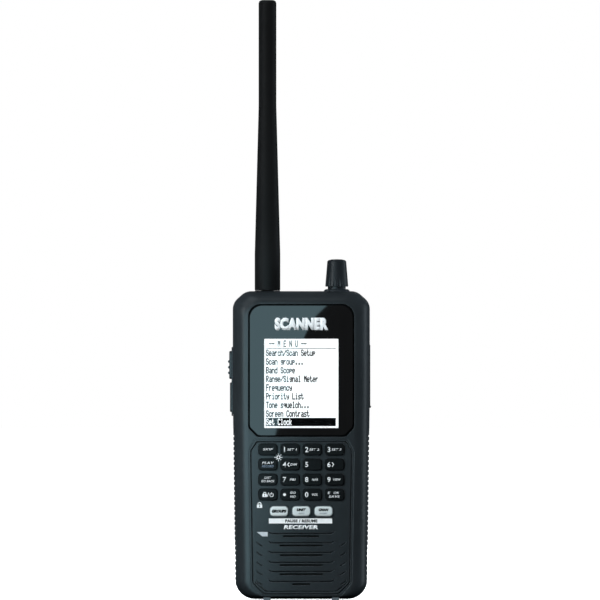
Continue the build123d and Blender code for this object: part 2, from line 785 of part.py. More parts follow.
def make_chips():
    """Processor, memory and audio packages on the two boards."""
    front = MAIN_BOARD_Y
    back = DISPLAY_BOARD_Y + BOARD_THICK
    packages = [block(x, (front - thick, front), z) for x, z, thick in MAIN_CHIPS]
    packages += [block(x, (back, back + thick), z) for x, z, thick in DISPLAY_CHIPS]
    return group(packages)


def make_usb_socket():
    """Small USB socket with its mouth behind the port cover."""
    skin = SOCKET_SKIN
    low, high = MAIN_BOARD_Y - USB_DEPTH, MAIN_BOARD_Y
    inner_x = USB_X[0] + USB_BACK
    shell = block(USB_X, (low, high), USB_Z)
    mouth = block((inner_x, USB_X[1] + BEYOND), (low + skin, high - skin), (USB_Z[0] + skin, USB_Z[1] - skin))
    tongue = block((inner_x, USB_X[1] - 1.1), (low + 1.5, low + 2.3), USB_TONGUE_Z)
    return shell - mouth + tongue


def make_card_socket():
    """Memory card socket below the USB socket."""
    low, high = MAIN_BOARD_Y - CARD_DEPTH, MAIN_BOARD_Y
    shell = block(CARD_X, (low, high), CARD_Z)
    slot_x = (CARD_X[0] + CARD_BACK, CARD_X[1] + BEYOND)
    return shell - block(slot_x, (low + SOCKET_SKIN, high - 0.3), (CARD_Z[0] + 0.8, CARD_Z[1] - 0.6))


def make_memory_card():
    """Memory card, seated in its socket, with one corner cut back."""
    low, high = MAIN_BOARD_Y - CARD_DEPTH + 0.4, MAIN_BOARD_Y - 0.35
    back = CARD_X[0] + CARD_BACK
    z = (CARD_Z[0] + 0.8 + CARD_CLEAR, CARD_Z[1] - 0.6 - CARD_CLEAR)
    card = block((back + CARD_CLEAR, CARD_X[1] + 0.3), (low, high), z)
    return card - block((back, back + 3.0), (low - BEYOND, high + BEYOND), (z[1] - 1.3, z[1] + BEYOND))


def make_side_switches():
    """Two push switches on the edge of the main board."""
    y = (MAIN_BOARD_Y - USB_DEPTH, MAIN_BOARD_Y)
    switches = []
    for low, high in (FUNCTION_KEY_Z, MENU_KEY_Z):
        mid = (low + high) / 2
        plunger_x = (SWITCH_X[0] - PLUNGER_OUT, SWITCH_X[0] + 0.05)
        plunger = Rot(0, 90, 0) * Cylinder(PLUNGER_R, plunger_x[1] - plunger_x[0])
        body = block(SWITCH_X, y, around(mid, SWITCH_HALF_H))
        switches.append(body + Pos(sum(plunger_x) / 2, SIDE_Y + 0.1, mid) * plunger)
    return group(switches)


# ---------------------------------------------------------------- speaker
def make_speaker_frame():
    """Steel basket with its magnet."""
    low, high = SPEAKER_RIM_Y
    rim = depth_rod(SPEAKER_R, low, high, 0, SPEAKER_Z)
    rim -= depth_rod(SPEAKER_R - SPEAKER_RIM_W, low - BEYOND, high + BEYOND, 0, SPEAKER_Z)
    facing_back = Rot(-90, 0, 0)
    bowl = Pos(0, BOWL_MID_Y, SPEAKER_Z) * (facing_back * Cone(BOWL_TOP_R, BOWL_LOW_R, BOWL_DEPTH))
    inside = Cone(BOWL_TOP_R - 2.5 * BOWL_SKIN, BOWL_LOW_R - BOWL_SKIN / 2, BOWL_DEPTH)
    bowl -= Pos(0, BOWL_MID_Y - BOWL_SKIN, SPEAKER_Z) * (facing_back * inside)
    return rim + bowl + depth_rod(MAGNET_R, *MAGNET_Y, 0, SPEAKER_Z)


def make_speaker_cone():
    """Dished diaphragm with its centre dome."""
    back = [(radius, depth + CONE_SKIN) for radius, depth in reversed(CONE_PROFILE)]
    face = make_face(Polyline(*(list(CONE_PROFILE) + back), close=True))
    dish = revolve(Plane.XZ * face, Axis.Z)
    return Pos(0, CONE_FRONT_Y, SPEAKER_Z) * (Rot(-90, 0, 0) * dish)


def make_speaker_mesh():
    """Dust cloth between the speaker and the grille."""
    return depth_rod(MESH_R, *MESH_Y, 0, SPEAKER_Z)


# ---------------------------------------------------------------- top deck
def make_antenna_connector():
    """Threaded aerial socket fixed through the top deck."""
    flange_r, flange_height = SOCKET_FLANGE
    tail_r, tail_z = SOCKET_TAIL
    mouth_r, mouth_depth = SOCKET_MOUTH
    body = upright(THREAD_R, DECK_INNER_Z - 0.1, STUD_TOP_Z, ANTENNA_X)
    body += upright(flange_r, DECK_INNER_Z - flange_height, DECK_INNER_Z, ANTENNA_X)
    body += upright(tail_r, tail_z, DECK_INNER_Z - flange_height, ANTENNA_X)
    body -= upright(SOCKET_BORE_R, 151.0, STUD_TOP_Z + BEYOND, ANTENNA_X)
    body -= upright(mouth_r, STUD_TOP_Z - mouth_depth, STUD_TOP_Z + BEYOND, ANTENNA_X)
    height, depth = THREAD_GROOVE
    for i in range(THREAD_RINGS):
        z = THREAD_FIRST_Z + i * THREAD_STEP
        core = upright(THREAD_R - depth, z - BEYOND, z + BEYOND, ANTENNA_X)
        body -= upright(THREAD_R + BEYOND, z, z + height, ANTENNA_X) - core
    return body


def make_antenna_plug():
    """Metal screw plug in the foot of the aerial."""
    low, high = PLUG_Z
    cavity = upright(THREAD_R + PLUG_CLEARANCE, low - BEYOND, PLUG_CAVITY_TOP_Z, ANTENNA_X)
    return upright(PLUG_R, low, high, ANTENNA_X) - cavity + upright(PIN_R, *PIN_Z, ANTENNA_X)


def make_antenna_whip():
    """Flexible rubber aerial, straight, tapered and straight again."""
    edge = ANTENNA_TIP_EDGE
    profile = [
        (0, ANTENNA_FOOT_Z),
        (ANTENNA_R - ANTENNA_FOOT_EDGE, ANTENNA_FOOT_Z),
        (ANTENNA_R, ANTENNA_FOOT_Z + ANTENNA_FOOT_EDGE),
        (ANTENNA_R, ANTENNA_TAPER_Z[0]),
        (ANTENNA_TIP_R, ANTENNA_TAPER_Z[1]),
        (ANTENNA_TIP_R, ANTENNA_TOP_Z - edge),
        (ANTENNA_TIP_R - 0.3 * edge, ANTENNA_TOP_Z - 0.3 * edge),
        (ANTENNA_TIP_R - edge, ANTENNA_TOP_Z),
        (0, ANTENNA_TOP_Z),
    ]
    return turned(profile, ANTENNA_X) - upright(PLUG_R, ANTENNA_FOOT_Z - BEYOND, PLUG_Z[1], ANTENNA_X)


def make_antenna_washer():
    """Rubber washer between the aerial and the top deck."""
    low, high = WASHER_Z
    hole = upright(THREAD_R + 0.2, low - BEYOND, high + BEYOND, ANTENNA_X)
    return upright(WASHER_R, low, high, ANTENNA_X) - hole


def make_knob_collar():
    """Raised ring around the foot of the knob."""
    inner, outer = COLLAR_R
    profile = [
        (inner, CASE_TOP),
        (outer, CASE_TOP),
        (outer - 0.2, CASE_TOP + 0.55),
        (inner + 0.65, COLLAR_TOP_Z),
        (inner, COLLAR_TOP_Z),
    ]
    return turned(profile, KNOB_X)


def make_encoder_body():
    """Rotary encoder case with its threaded bush and nut."""
    nut_r, nut_height = NUT
    room_r, room_low, room_high = ROTOR_ROOM
    body = block(around(KNOB_X, ENCODER_HALF), around(0, ENCODER_HALF), (ENCODER_LOW_Z, DECK_INNER_Z))
    body += upright(BUSH_R, DECK_INNER_Z - 0.1, BUSH_TOP_Z, KNOB_X)
    body += upright(nut_r, CASE_TOP, CASE_TOP + nut_height, KNOB_X)
    body -= upright(BUSH_BORE_R, ENCODER_LOW_Z - BEYOND, BUSH_TOP_Z + BEYOND, KNOB_X)
    return body - upright(room_r, room_low, room_high, KNOB_X)


def shaft_flat(flat_x, z_low, z_high):
    """Block that cuts the flat on a shaft, on its +X side."""
    return block((KNOB_X + flat_x, KNOB_X + SHAFT_R + BEYOND), around(0, SHAFT_R + BEYOND), (z_low, z_high))


def make_encoder_rotor():
    """Contact wheel that the shaft turns."""
    low, high = ROTOR_Z[0] - BEYOND, ROTOR_Z[1] + BEYOND
    hole = upright(SHAFT_TAIL_R + FLAT_CLEARANCE, low, high, KNOB_X)
    hole -= shaft_flat(SHAFT_FLAT_X + FLAT_CLEARANCE, low - BEYOND, high + BEYOND)
    return upright(ROTOR_R, *ROTOR_Z, KNOB_X) - hole


def make_encoder_shaft():
    """Shaft through the bush, with a flat that drives the rotor and one for the knob."""
    low, shoulder, high = SHAFT_Z
    shaft = upright(SHAFT_R, shoulder, high, KNOB_X) + upright(SHAFT_TAIL_R, low, shoulder, KNOB_X)
    shaft -= shaft_flat(SHAFT_FLAT_X, low - BEYOND, shoulder)
    return shaft - shaft_flat(KNOB_FLAT_X, KNOB_FLAT_Z, high + BEYOND)


def make_control_knob():
    """Volume and tuning knob: smooth cap over a fluted skirt."""
    profile = [
        (0, KNOB_FOOT_Z),
        (KNOB_FOOT_R, KNOB_FOOT_Z),
        (KNOB_FOOT_R, KNOB_BOTTOM_Z),
        (KNOB_BOTTOM_R - 0.2, KNOB_BOTTOM_Z),
        (KNOB_BOTTOM_R, KNOB_BOTTOM_Z + 0.3),
        (KNOB_WAIST_R, KNOB_WAIST_Z),
        (KNOB_TOP_R, KNOB_EDGE_Z),
        (KNOB_TOP_R - 0.5, KNOB_EDGE_Z + 0.6),
        (KNOB_CROWN_R, KNOB_CROWN_Z - 0.1),
        (0, KNOB_CROWN_Z),
    ]
    knob = turned(profile, KNOB_X)
    reach = KNOB_BOTTOM_R + KNOB_FLUTE_OUT
    for i in range(KNOB_FLUTES):
        angle = 2 * pi * i / KNOB_FLUTES
        x, y = KNOB_X + reach * cos(angle), reach * sin(angle)
        knob -= upright(KNOB_FLUTE_R, KNOB_BOTTOM_Z - 0.5, KNOB_WAIST_Z, x, y)
    room_r, room_top = KNOB_BUSH_ROOM
    knob -= upright(room_r, KNOB_FOOT_Z - BEYOND, room_top, KNOB_X)
    high = SHAFT_Z[2]
    socket = upright(SHAFT_R, room_top - 0.5, high, KNOB_X)
    return knob - (socket - shaft_flat(KNOB_FLAT_X, KNOB_FLAT_Z, high + BEYOND))


def make_headphone_jack():
    """Earphone socket below the top deck."""
    across, deep = JACK_BODY
    body = block((JACK_X + across[0], JACK_X + across[1]), deep, (JACK_LOW_Z, DECK_INNER_Z))
    body += upright(JACK_NECK_R, DECK_INNER_Z - 0.1, JACK_TOP_Z, JACK_X)
    return body - upright(JACK_BORE_R, JACK_TOP_Z - JACK_BORE_LENGTH, CASE_TOP + BEYOND, JACK_X)


# ---------------------------------------------------------------- sides
def side_key_outline(z_pair, grow):
    """Outline of one side key in Y and Z."""
    low, high = z_pair
    face = RectangleRounded(SIDE_KEY_DEPTH + 2 * grow, high - low + 2 * grow, SIDE_KEY_R + grow)
    return Pos(SIDE_Y, (low + high) / 2) * face


def make_side_bezel():
    """Raised frame around the two side keys."""
    low, high = BEZEL_Z
    mid = (low + high) / 2
    seat_depth, seat_rim = BEZEL_SEAT
    face = Pos(SIDE_Y, mid) * RectangleRounded(BEZEL_DEPTH, high - low, BEZEL_R)
    plate = side_slab(face, *BEZEL_X)
    plate = fillet(plate.faces().sort_by(Axis.X)[0].edges(), 0.3)
    inner = Pos(SIDE_Y, mid) * RectangleRounded(seat_depth, high - low - 2 * seat_rim, SIDE_KEY_R)
    plate += side_slab(inner, BEZEL_X[1] - 0.08, BEZEL_BACK_X)
    for z_pair in (FUNCTION_KEY_Z, MENU_KEY_Z):
        plate -= side_slab(side_key_outline(z_pair, SIDE_KEY_GAP), BEZEL_X[0] - BEYOND, BEZEL_BACK_X + BEYOND)
    return plate


def make_side_key(z_pair, face_x):
    """Side key with a hidden flange."""
    key = side_slab(side_key_outline(z_pair, 0), face_x, SIDE_KEY_FLANGE_X[0])
    key = fillet(key.faces().sort_by(Axis.X)[0].edges(), SIDE_KEY_EDGE)
    return key + side_slab(side_key_outline(z_pair, SIDE_KEY_FLANGE), *SIDE_KEY_FLANGE_X)


def make_function_key():
    """Upper side key with three finger ridges."""
    key = make_side_key(FUNCTION_KEY_Z, FUNCTION_KEY_X)
    for z in RIDGES_Z:
        ridge = Rot(90, 0, 0) * Cylinder(RIDGE_R, SIDE_KEY_DEPTH - 1.6)
        key += Pos(FUNCTION_KEY_X + 0.1, SIDE_Y, z) * ridge
    return key


def make_menu_key():
    """Lower side key, smooth."""
    return make_side_key(MENU_KEY_Z, MENU_KEY_X)


def make_port_cover():
    """Rubber flap over the USB socket and the card slot, hinged at its foot."""
    low, high = PORT_Z
    depth = PORT_DEPTH - 2 * PORT_COVER_GAP
    face = Pos(SIDE_Y, (low + high) / 2) * RectangleRounded(depth, high - low, 0.8)
    flap = side_slab(face, *PORT_COVER_X)
    flap = fillet(flap.faces().sort_by(Axis.X)[-1].edges(), 0.3)
    lip_x, lip_inset, lip_z = PORT_LIP
    lip = RectangleRounded(depth - 2 * lip_inset, lip_z[1] - lip_z[0], 1.0)
    flap += side_slab(Pos(SIDE_Y, sum(lip_z) / 2) * lip, *lip_x)
    barrel = Rot(90, 0, 0) * Cylinder(PORT_HINGE_R, depth)
    flap += Pos(PORT_HINGE[0], SIDE_Y, PORT_HINGE[1]) * barrel
    notch = Rot(90, 0, 0) * Cylinder(FINGER_NOTCH_R, 5.0)
    return flap - Pos(HALF_W_TOP + FINGER_NOTCH_R, SIDE_Y, high - 1.4) * notch


# ---------------------------------------------------------------- rear of the case
def cover_face(grow=0.0):
    """Outline of the battery cover."""
    low, high = COVER_Z
    face = RectangleRounded(2 * (COVER_HALF_W + grow), high - low + 2 * grow, COVER_CORNER_R + grow)
    return Pos(0, (low + high) / 2) * face


def rear_shell():
    """Rear half of the case with the walls of its battery tray."""
    flank_y = BACK_Y - BACK_ROUND_DEPTH
    outer = slab(case_face(0, 0, 0), SPLIT_Y, flank_y) + rounded_end(flank_y, BACK_Y, BACK_ROUND)
    body = outer - slab(case_face(WALL, WALL, WALL), SPLIT_Y - BEYOND, flank_y)
    body -= slab(case_face(*BACK_HOLLOW), flank_y - 0.5, BACK_Y - WALL)
    walls_x = (TRAY_X[0] - TRAY_WALL, TRAY_X[1] + TRAY_WALL)
    walls_z = (TRAY_Z[0] - TRAY_WALL, TRAY_Z[1] + TRAY_WALL)
    body += block(walls_x, (TRAY_FRONT_Y - TRAY_WALL, COVER_SEAT_Y), walls_z)
    for x, z in CASE_SCREWS:
        body += depth_rod(REAR_PILLAR_R, SPLIT_Y, BACK_Y - BEYOND, x, z) & outer
    return body


def make_rear_housing():
    """Rear half of the case, bored for its screws and open for the cells."""
    body = rear_shell()
    for x, z in CASE_SCREWS:
        body -= depth_rod(SCREW_SINK_R, SCREW_SEAT_Y, BACK_Y + BEYOND, x, z)
        body -= depth_rod(CASE_SCREW_R + SCREW_CLEARANCE, SPLIT_Y - BEYOND, BACK_Y, x, z)
    for x, z in MAIN_BOSSES:
        body += depth_rod(MAIN_BOSS_R, MAIN_BOARD_Y + BOARD_THICK, BACK_Y - BEYOND, x, z)
        body -= depth_rod(BOARD_SCREW_R + THREAD_FIT, 0, BOARD_HOLE_BACK_Y, x, z)
    for x, z in INSERTS:
        body += depth_rod(INSERT_BOSS_R, INSERT_BOSS_Y, BACK_Y - BEYOND, x, z)
        body -= depth_rod(INSERT_R, INSERT_HOLE_Y, BACK_Y + BEYOND, x, z)
    body -= slab(cover_face(COVER_GAP), COVER_SEAT_Y, BACK_Y + BEYOND)
    body -= block(TRAY_X, (TRAY_FRONT_Y, BACK_Y + BEYOND), (TRAY_Z[0], TRAY_Z[1] - TRAY_LIP))
    body -= block(TRAY_X, (TRAY_FRONT_Y, TRAY_BACK_Y), TRAY_Z)
    body -= hook_slots()
    body -= [block(*SNAP_NOTCH), Pos(0, BACK_Y + COVER_DIP_OUT, COVER_Z[0] - 1.0) * Sphere(COVER_DIP_R)]
    body -= foot_slots()
    body -= seam_cutter(SPLIT_Y - BEYOND, SPLIT_Y + SEAM)
    body -= grip_cutters(SPLIT_Y - BEYOND, BACK_Y)
    return body


def hook_slots():
    """Windows above the battery cover that its two hooks reach through."""
    return [block(around(side * HOOK_X, HOOK_SLOT_HALF_W), HOOK_SLOT_Y, HOOK_SLOT_Z) for side in (-1, 1)]


def make_battery_cover():
    """Removable back cover: two hooks at the top, one snap at the foot."""
    cover = slab(cover_face(), BACK_Y - COVER_THICK, BACK_Y)
    cover = fillet(cover.faces().sort_by(Axis.Y)[-1].edges(), COVER_EDGE)
    for side in (-1, 1):
        cover += block(around(side * HOOK_X, HOOK_HALF_W), HOOK_Y, HOOK_Z)
    cover += block(*SNAP)
    for i in range(COVER_GRIPS):
        groove = Rot(0, 90, 0) * Cylinder(COVER_GRIP_R, COVER_GRIP_LENGTH)
        cover -= Pos(0, BACK_Y + 0.25, COVER_GRIP_FIRST_Z + COVER_GRIP_STEP * i) * groove
    return cover


def cell_columns():
    """Centre of each cell across the tray."""
    return (-CELL_PITCH, 0.0, CELL_PITCH)


def make_batteries():
    """Three cylindrical cells, the middle one the other way up."""
    nub_r, nub_height = CELL_NUB
    profile = [
        (0, 0),
        (CELL_R - CELL_EDGE, 0),
        (CELL_R, CELL_EDGE),
        (CELL_R, CELL_LENGTH - CELL_EDGE),
        (CELL_R - CELL_EDGE, CELL_LENGTH),
        (nub_r, CELL_LENGTH),
        (nub_r, CELL_LENGTH + nub_height),
        (0, CELL_LENGTH + nub_height),
    ]
    cells = []
    for column, x in enumerate(cell_columns()):
        if column == 1:
            cells.append(Pos(x, CELL_Y, TRAY_Z[1] - CELL_END_GAP) * (Rot(180, 0, 0) * turned(profile)))
        else:
            cells.append(Pos(x, CELL_Y, TRAY_Z[0] + CELL_END_GAP) * turned(profile))
    return group(cells)


def make_contact_spring(x, z, direction):
    """Coil contact drawn as stacked rings on a stem, against one cell end."""
    bar_depth, bar_height = SPRING_BAR
    spring = upright(SPRING_STEM_R, 0, SPRING_HEIGHT)
    for i in range(SPRING_RINGS):
        radius = SPRING_RING_R - SPRING_RING_SHRINK * i
        at = Pos(0, 0, SPRING_FIRST_Z + SPRING_STEP * i)
        spring += at * Torus(radius, SPRING_WIRE_R)
        spring += at * Box(2 * radius, bar_depth, bar_height)
    turn = Rot(0, 0, 0) if direction > 0 else Rot(180, 0, 0)
    return Pos(x, CELL_Y, z) * (turn * spring)


def make_battery_contacts():
    """Plates and springs at both ends of the tray."""
    parts = []
    for column, x in enumerate(cell_columns()):
        spring_low = column != 1
        for z_end, direction in ((TRAY_Z[0], 1), (TRAY_Z[1], -1)):
            z_pair = sorted((z_end, z_end + direction * CONTACT_THICK))
            plate = block(around(x, CONTACT_HALF), around(CELL_Y, CONTACT_DEPTH), z_pair)
            if (direction > 0) == spring_low:
                plate += make_contact_spring(x, z_end + direction * (CONTACT_THICK - 0.05), direction)
            parts.append(plate)
    return group(parts)


# ---------------------------------------------------------------- fasteners and feet
def make_case_screw(x, z):
    """Pan head screw from the back, with a cross recess."""
    head_r, head_height = CASE_SCREW_HEAD
    long, short = CASE_SCREW_CROSS
    head = depth_rod(head_r, SCREW_SEAT_Y, SCREW_SEAT_Y + head_height, x, z)
    head = fillet(head.faces().sort_by(Axis.Y)[-1].edges(), CASE_SCREW_EDGE)
    for size in ((long, short), (short, long)):
        head -= slab(Pos(x, z) * Rectangle(*size), SCREW_SEAT_Y + head_height / 2, BACK_Y)
    return head + depth_rod(CASE_SCREW_R, CASE_SCREW_TIP_Y, SCREW_SEAT_Y + 0.1, x, z)


def make_board_screw(x, z, seat_y, outward):
    """Small screw that holds a board; outward is the side its head faces."""
    head_r, head_height = BOARD_SCREW_HEAD
    head = sorted((seat_y, seat_y + outward * head_height))
    shank = sorted((seat_y + outward * 0.1, seat_y - outward * BOARD_SCREW_LENGTH))
    slot = sorted((seat_y + outward * 0.6, seat_y + outward * 2))
    screw = depth_rod(head_r, *head, x, z) + depth_rod(BOARD_SCREW_R, *shank, x, z)
    return screw - slab(Pos(x, z) * Rectangle(*BOARD_SCREW_SLOT), *slot)


def make_board_screws():
    """Screws of both boards."""
    screws = [make_board_screw(x, z, DISPLAY_BOARD_Y + BOARD_THICK, 1) for x, z in FRONT_BOSSES]
    screws += [make_board_screw(x, z, MAIN_BOARD_Y, -1) for x, z in MAIN_BOSSES]
    return group(screws)


def make_mount_inserts():
    """Threaded brass inserts for a belt clip."""
    low, high = INSERT_Y
    bore = (low - BEYOND, high + BEYOND)
    rings = [depth_rod(INSERT_R, low, high, x, z) - depth_rod(INSERT_BORE_R, *bore, x, z) for x, z in INSERTS]
    return group(rings)


def make_feet():
    """Two rubber rails under the case."""
    rails = []
    for side in (-1, 1):
        rail = foot_rail(side)
        rails.append(fillet(rail.faces().sort_by(Axis.Z)[0].edges(), FOOT_EDGE))
    return group(rails)


# ---------------------------------------------------------------- write every node
save("front_housing", make_front_housing())
save("rear_housing", make_rear_housing())
save("display_lens", make_lens())
save("lens_gasket", make_lens_gasket())
save("alert_lens", make_alert_lens())
save("keypad_mat", make_keypad_mat())
for name, x, z in key_sites():
    save(name, make_key(x, z, KEY_SIZE, KEY_FACE_Y, KEY_EDGE))
for name, x, z in soft_key_sites():
    save(name, make_key(x, z, SOFT_KEY_SIZE, SOFT_KEY_FACE_Y, SOFT_KEY_EDGE))
save("lcd_module", make_lcd_module())
save("lcd_frame", make_lcd_frame())
save("display_board", make_display_board())
save("main_board", make_main_board())
save("rf_shield", make_rf_shield())
save("board_chips", make_chips())
save("usb_socket", make_usb_socket())
save("card_socket", make_card_socket())
save("memory_card", make_memory_card())
save("side_switches", make_side_switches())
save("speaker_frame", make_speaker_frame())
save("speaker_cone", make_speaker_cone())
save("speaker_mesh", make_speaker_mesh())
save("antenna_connector", make_antenna_connector())
save("antenna_plug", make_antenna_plug())
save("antenna_whip", make_antenna_whip())
save("antenna_washer", make_antenna_washer())
save("knob_collar", make_knob_collar())
save("encoder_body", make_encoder_body())
save("encoder_rotor", make_encoder_rotor())
save("encoder_shaft", make_encoder_shaft())
save("control_knob", make_control_knob())
save("headphone_jack", make_headphone_jack())
save("side_key_bezel", make_side_bezel())
save("function_key", make_function_key())
save("menu_key", make_menu_key())
save("port_cover", make_port_cover())
save("battery_cover", make_battery_cover())
save("batteries", make_batteries())
save("battery_contacts", make_battery_contacts())
save("case_screws", group([make_case_screw(x, z) for x, z in CASE_SCREWS]))
save("board_screws", make_board_screws())
save("mount_inserts", make_mount_inserts())
save("feet", make_feet())
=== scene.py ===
import json
from math import cos, pi, radians, sin

import bpy
from mathutils import Matrix, Vector


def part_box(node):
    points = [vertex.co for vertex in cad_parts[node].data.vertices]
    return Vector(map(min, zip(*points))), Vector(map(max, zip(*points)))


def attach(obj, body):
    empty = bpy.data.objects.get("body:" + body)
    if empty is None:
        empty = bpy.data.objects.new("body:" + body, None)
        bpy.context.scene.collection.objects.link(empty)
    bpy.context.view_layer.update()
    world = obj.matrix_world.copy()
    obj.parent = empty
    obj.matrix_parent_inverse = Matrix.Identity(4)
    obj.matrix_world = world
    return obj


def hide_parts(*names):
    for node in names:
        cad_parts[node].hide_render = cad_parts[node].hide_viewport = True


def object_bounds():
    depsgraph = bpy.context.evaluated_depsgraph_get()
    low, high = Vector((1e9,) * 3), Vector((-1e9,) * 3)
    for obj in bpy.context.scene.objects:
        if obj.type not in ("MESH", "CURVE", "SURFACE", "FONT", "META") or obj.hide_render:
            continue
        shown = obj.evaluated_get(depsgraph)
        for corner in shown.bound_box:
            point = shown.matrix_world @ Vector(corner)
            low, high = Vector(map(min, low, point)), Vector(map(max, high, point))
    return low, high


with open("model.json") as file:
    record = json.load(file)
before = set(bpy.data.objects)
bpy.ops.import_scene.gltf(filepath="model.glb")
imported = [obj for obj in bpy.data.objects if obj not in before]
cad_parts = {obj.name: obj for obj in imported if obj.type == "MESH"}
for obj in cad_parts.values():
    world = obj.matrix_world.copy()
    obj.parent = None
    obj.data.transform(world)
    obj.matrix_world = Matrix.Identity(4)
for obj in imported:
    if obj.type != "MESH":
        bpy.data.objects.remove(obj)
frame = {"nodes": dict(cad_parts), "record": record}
cad_low, cad_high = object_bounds()
nodes = frame["nodes"]

MM = 0.001
ROOT = "case"
INK = 0.03 * MM

# ---------------------------------------------------------------- legends of the keys
# Lengths in this part are in millimetres, from the middle of the key.
FIGURE_X = -2.75
FIGURE_HEIGHT = 2.5
POINT_SIZE = 1.4
WORD_HEIGHT = 1.1
# How much the outline of each kind of lettering is thickened, and how far it leans.
FIGURE_WEIGHT = 0.015
WORD_WEIGHT = 0.015
WORD_SLANT = 0.2
SOFT_WEIGHT = 0.09
SOFT_SLANT = 0.3
# For each black key: its large figure, then its words as text, offset in x and z, width and ink.
KEY_LEGENDS = {
    "key_skip": ("", [("SKIP", 0.0, 0.1, 4.9, "white_ink")]),
    "key_1": ("1", [("SET 1", 0.9, 0.0, 4.7, "white_ink")]),
    "key_2": ("2", [("SET 2", 0.9, 0.0, 4.7, "white_ink")]),
    "key_3": ("3", [("SET 3", 0.9, 0.0, 4.7, "white_ink")]),
    "key_replay": (
        "",
        [("PLAY", 0.0, 0.8, 5.8, "white_ink"), ("RECORD", 0.0, -0.85, 5.6, "blue_ink")],
    ),
    "key_4": ("4", [("DIM", 1.7, 0.0, 3.2, "white_ink")]),
    "key_5": ("5", []),
    "key_6": ("6", []),
    "key_list": (
        "",
        [("LIST", 0.0, 0.95, 3.4, "white_ink"), ("GO BACK", 0.0, -0.75, 6.4, "white_ink")],
    ),
    "key_7": ("7", [("PRI", 1.2, 0.0, 2.9, "white_ink")]),
    "key_8": ("8", [("NAR", 1.2, 0.0, 2.9, "white_ink")]),
    "key_9": ("9", [("VIEW", 1.1, 0.0, 3.7, "white_ink")]),
    "key_power": ("", []),
    "key_point": (".", [("GO", 1.3, 0.95, 2.7, "white_ink"), ("NO", 1.3, -0.95, 2.7, "white_ink")]),
    "key_0": ("0", [("VOL", 1.2, 0.0, 2.9, "white_ink")]),
    "key_enter": (
        "",
        [
            ("E", FIGURE_X, 0.85, 1.2, "white_ink"),
            ("OK", 0.9, 0.85, 2.8, "white_ink"),
            ("SAVE", -0.1, -0.95, 5.6, "white_ink"),
        ],
    ),
}
# For each silver key: its words as text, offset in x and z, width, height and ink.
SOFT_LEGENDS = {
    "soft_key_left": [("GROUPS", 0.0, 0.1, 7.2, 1.5, "black_ink")],
    "soft_key_middle": [
        ("UNIT", 0.0, 0.75, 4.5, 1.35, "black_ink"),
        ("AUTO", 0.0, -0.95, 3.2, 0.8, "grey_ink"),
    ],
    "soft_key_right": [
        ("CHAN", 0.0, 0.75, 4.9, 1.35, "black_ink"),
        ("MODIFY", 0.0, -0.95, 4.2, 0.8, "grey_ink"),
    ],
}

# ---------------------------------------------------------------- material helpers
# Painted shade near the feet, darkening the bottom edge of the case: full below the first height
# and gone above the second, in metres.
PAINTED_SHADE_Z = (0.0024, 0.0031)
PAINTED_SHADE_COLOUR = (0.003, 0.0035, 0.004)
PAINTED_SHADE_SPECULAR = 0.05
METAL_BRUSH = (1, 1, 30)
METAL_EDGE = 0.12 * MM
LENS_EDGE = 0.25 * MM
LENS_IOR = 1.52
DISPLAY_GLOW = 0.85
# Lower than glass, so that the window over the display stays clear of reflections.
PANE_IOR = 1.33
# One dot of the display.
DOT_W = 0.235 * MM
DOT_H = 0.44 * MM
# Height above the feet that the colour bands of a cell's sleeve are measured against.
SLEEVE_SPAN = 80 * MM


def new_material(name):
    """A material with an empty tree apart from a Principled shader and the output."""
    material = bpy.data.materials.new(name)
    material.use_nodes = True
    tree = material.node_tree
    tree.nodes.clear()
    shader = tree.nodes.new("ShaderNodeBsdfPrincipled")
    output = tree.nodes.new("ShaderNodeOutputMaterial")
    tree.links.new(shader.outputs["BSDF"], output.inputs["Surface"])
    return material, tree, shader


def object_coordinates(tree, stretch=(1, 1, 1)):
    """Coordinates in metres, stretched along the axes."""
    coordinates = tree.nodes.new("ShaderNodeTexCoord")
    mapping = tree.nodes.new("ShaderNodeMapping")
    mapping.inputs["Scale"].default_value = stretch
    tree.links.new(coordinates.outputs["Object"], mapping.inputs["Vector"])
    return mapping.outputs["Vector"]


def noise(tree, vector, scale, detail=2.0, roughness=0.5):
    """Noise value."""
    node = tree.nodes.new("ShaderNodeTexNoise")
    node.inputs["Scale"].default_value = scale
    node.inputs["Detail"].default_value = detail
    node.inputs["Roughness"].default_value = roughness
    tree.links.new(vector, node.inputs["Vector"])
    return node.outputs["Fac"]


def ramp(tree, value, stops):
    """Value through a colour ramp; stops are position and colour or grey."""
    node = tree.nodes.new("ShaderNodeValToRGB")
    elements = node.color_ramp.elements
    for _ in range(len(stops) - 2):
        elements.new(0.5)
    for element, (position, colour) in zip(elements, stops):
        element.position = position
        if isinstance(colour, (int, float)):
            colour = (colour, colour, colour)
        element.color = (*colour, 1.0)
    tree.links.new(value, node.inputs["Fac"])
    return node.outputs["Color"]


def mix_colour(tree, factor, first, second):
    """Blend of two colours; each is a socket or a colour."""
    node = tree.nodes.new("ShaderNodeMix")
    node.data_type = "RGBA"
    tree.links.new(factor, node.inputs["Factor"])
    for socket, colour in ((node.inputs["A"], first), (node.inputs["B"], second)):
        if isinstance(colour, tuple):
            socket.default_value = (*colour, 1.0)
        else:
            tree.links.new(colour, socket)
    return node.outputs["Result"]


def maths(tree, operation, first, second):
    """One Math node; each input is a socket or a number."""
    node = tree.nodes.new("ShaderNodeMath")
    node.operation = operation
    for socket, value in zip(node.inputs, (first, second)):
        if isinstance(value, (int, float)):
            socket.default_value = value
        else:
            tree.links.new(value, socket)
    return node.outputs["Value"]


def rounded_normal(tree, radius):
    """Shading normal with edges softened over a radius."""
    node = tree.nodes.new("ShaderNodeBevel")
    node.samples = 4
    node.inputs["Radius"].default_value = radius
    return node.outputs["Normal"]


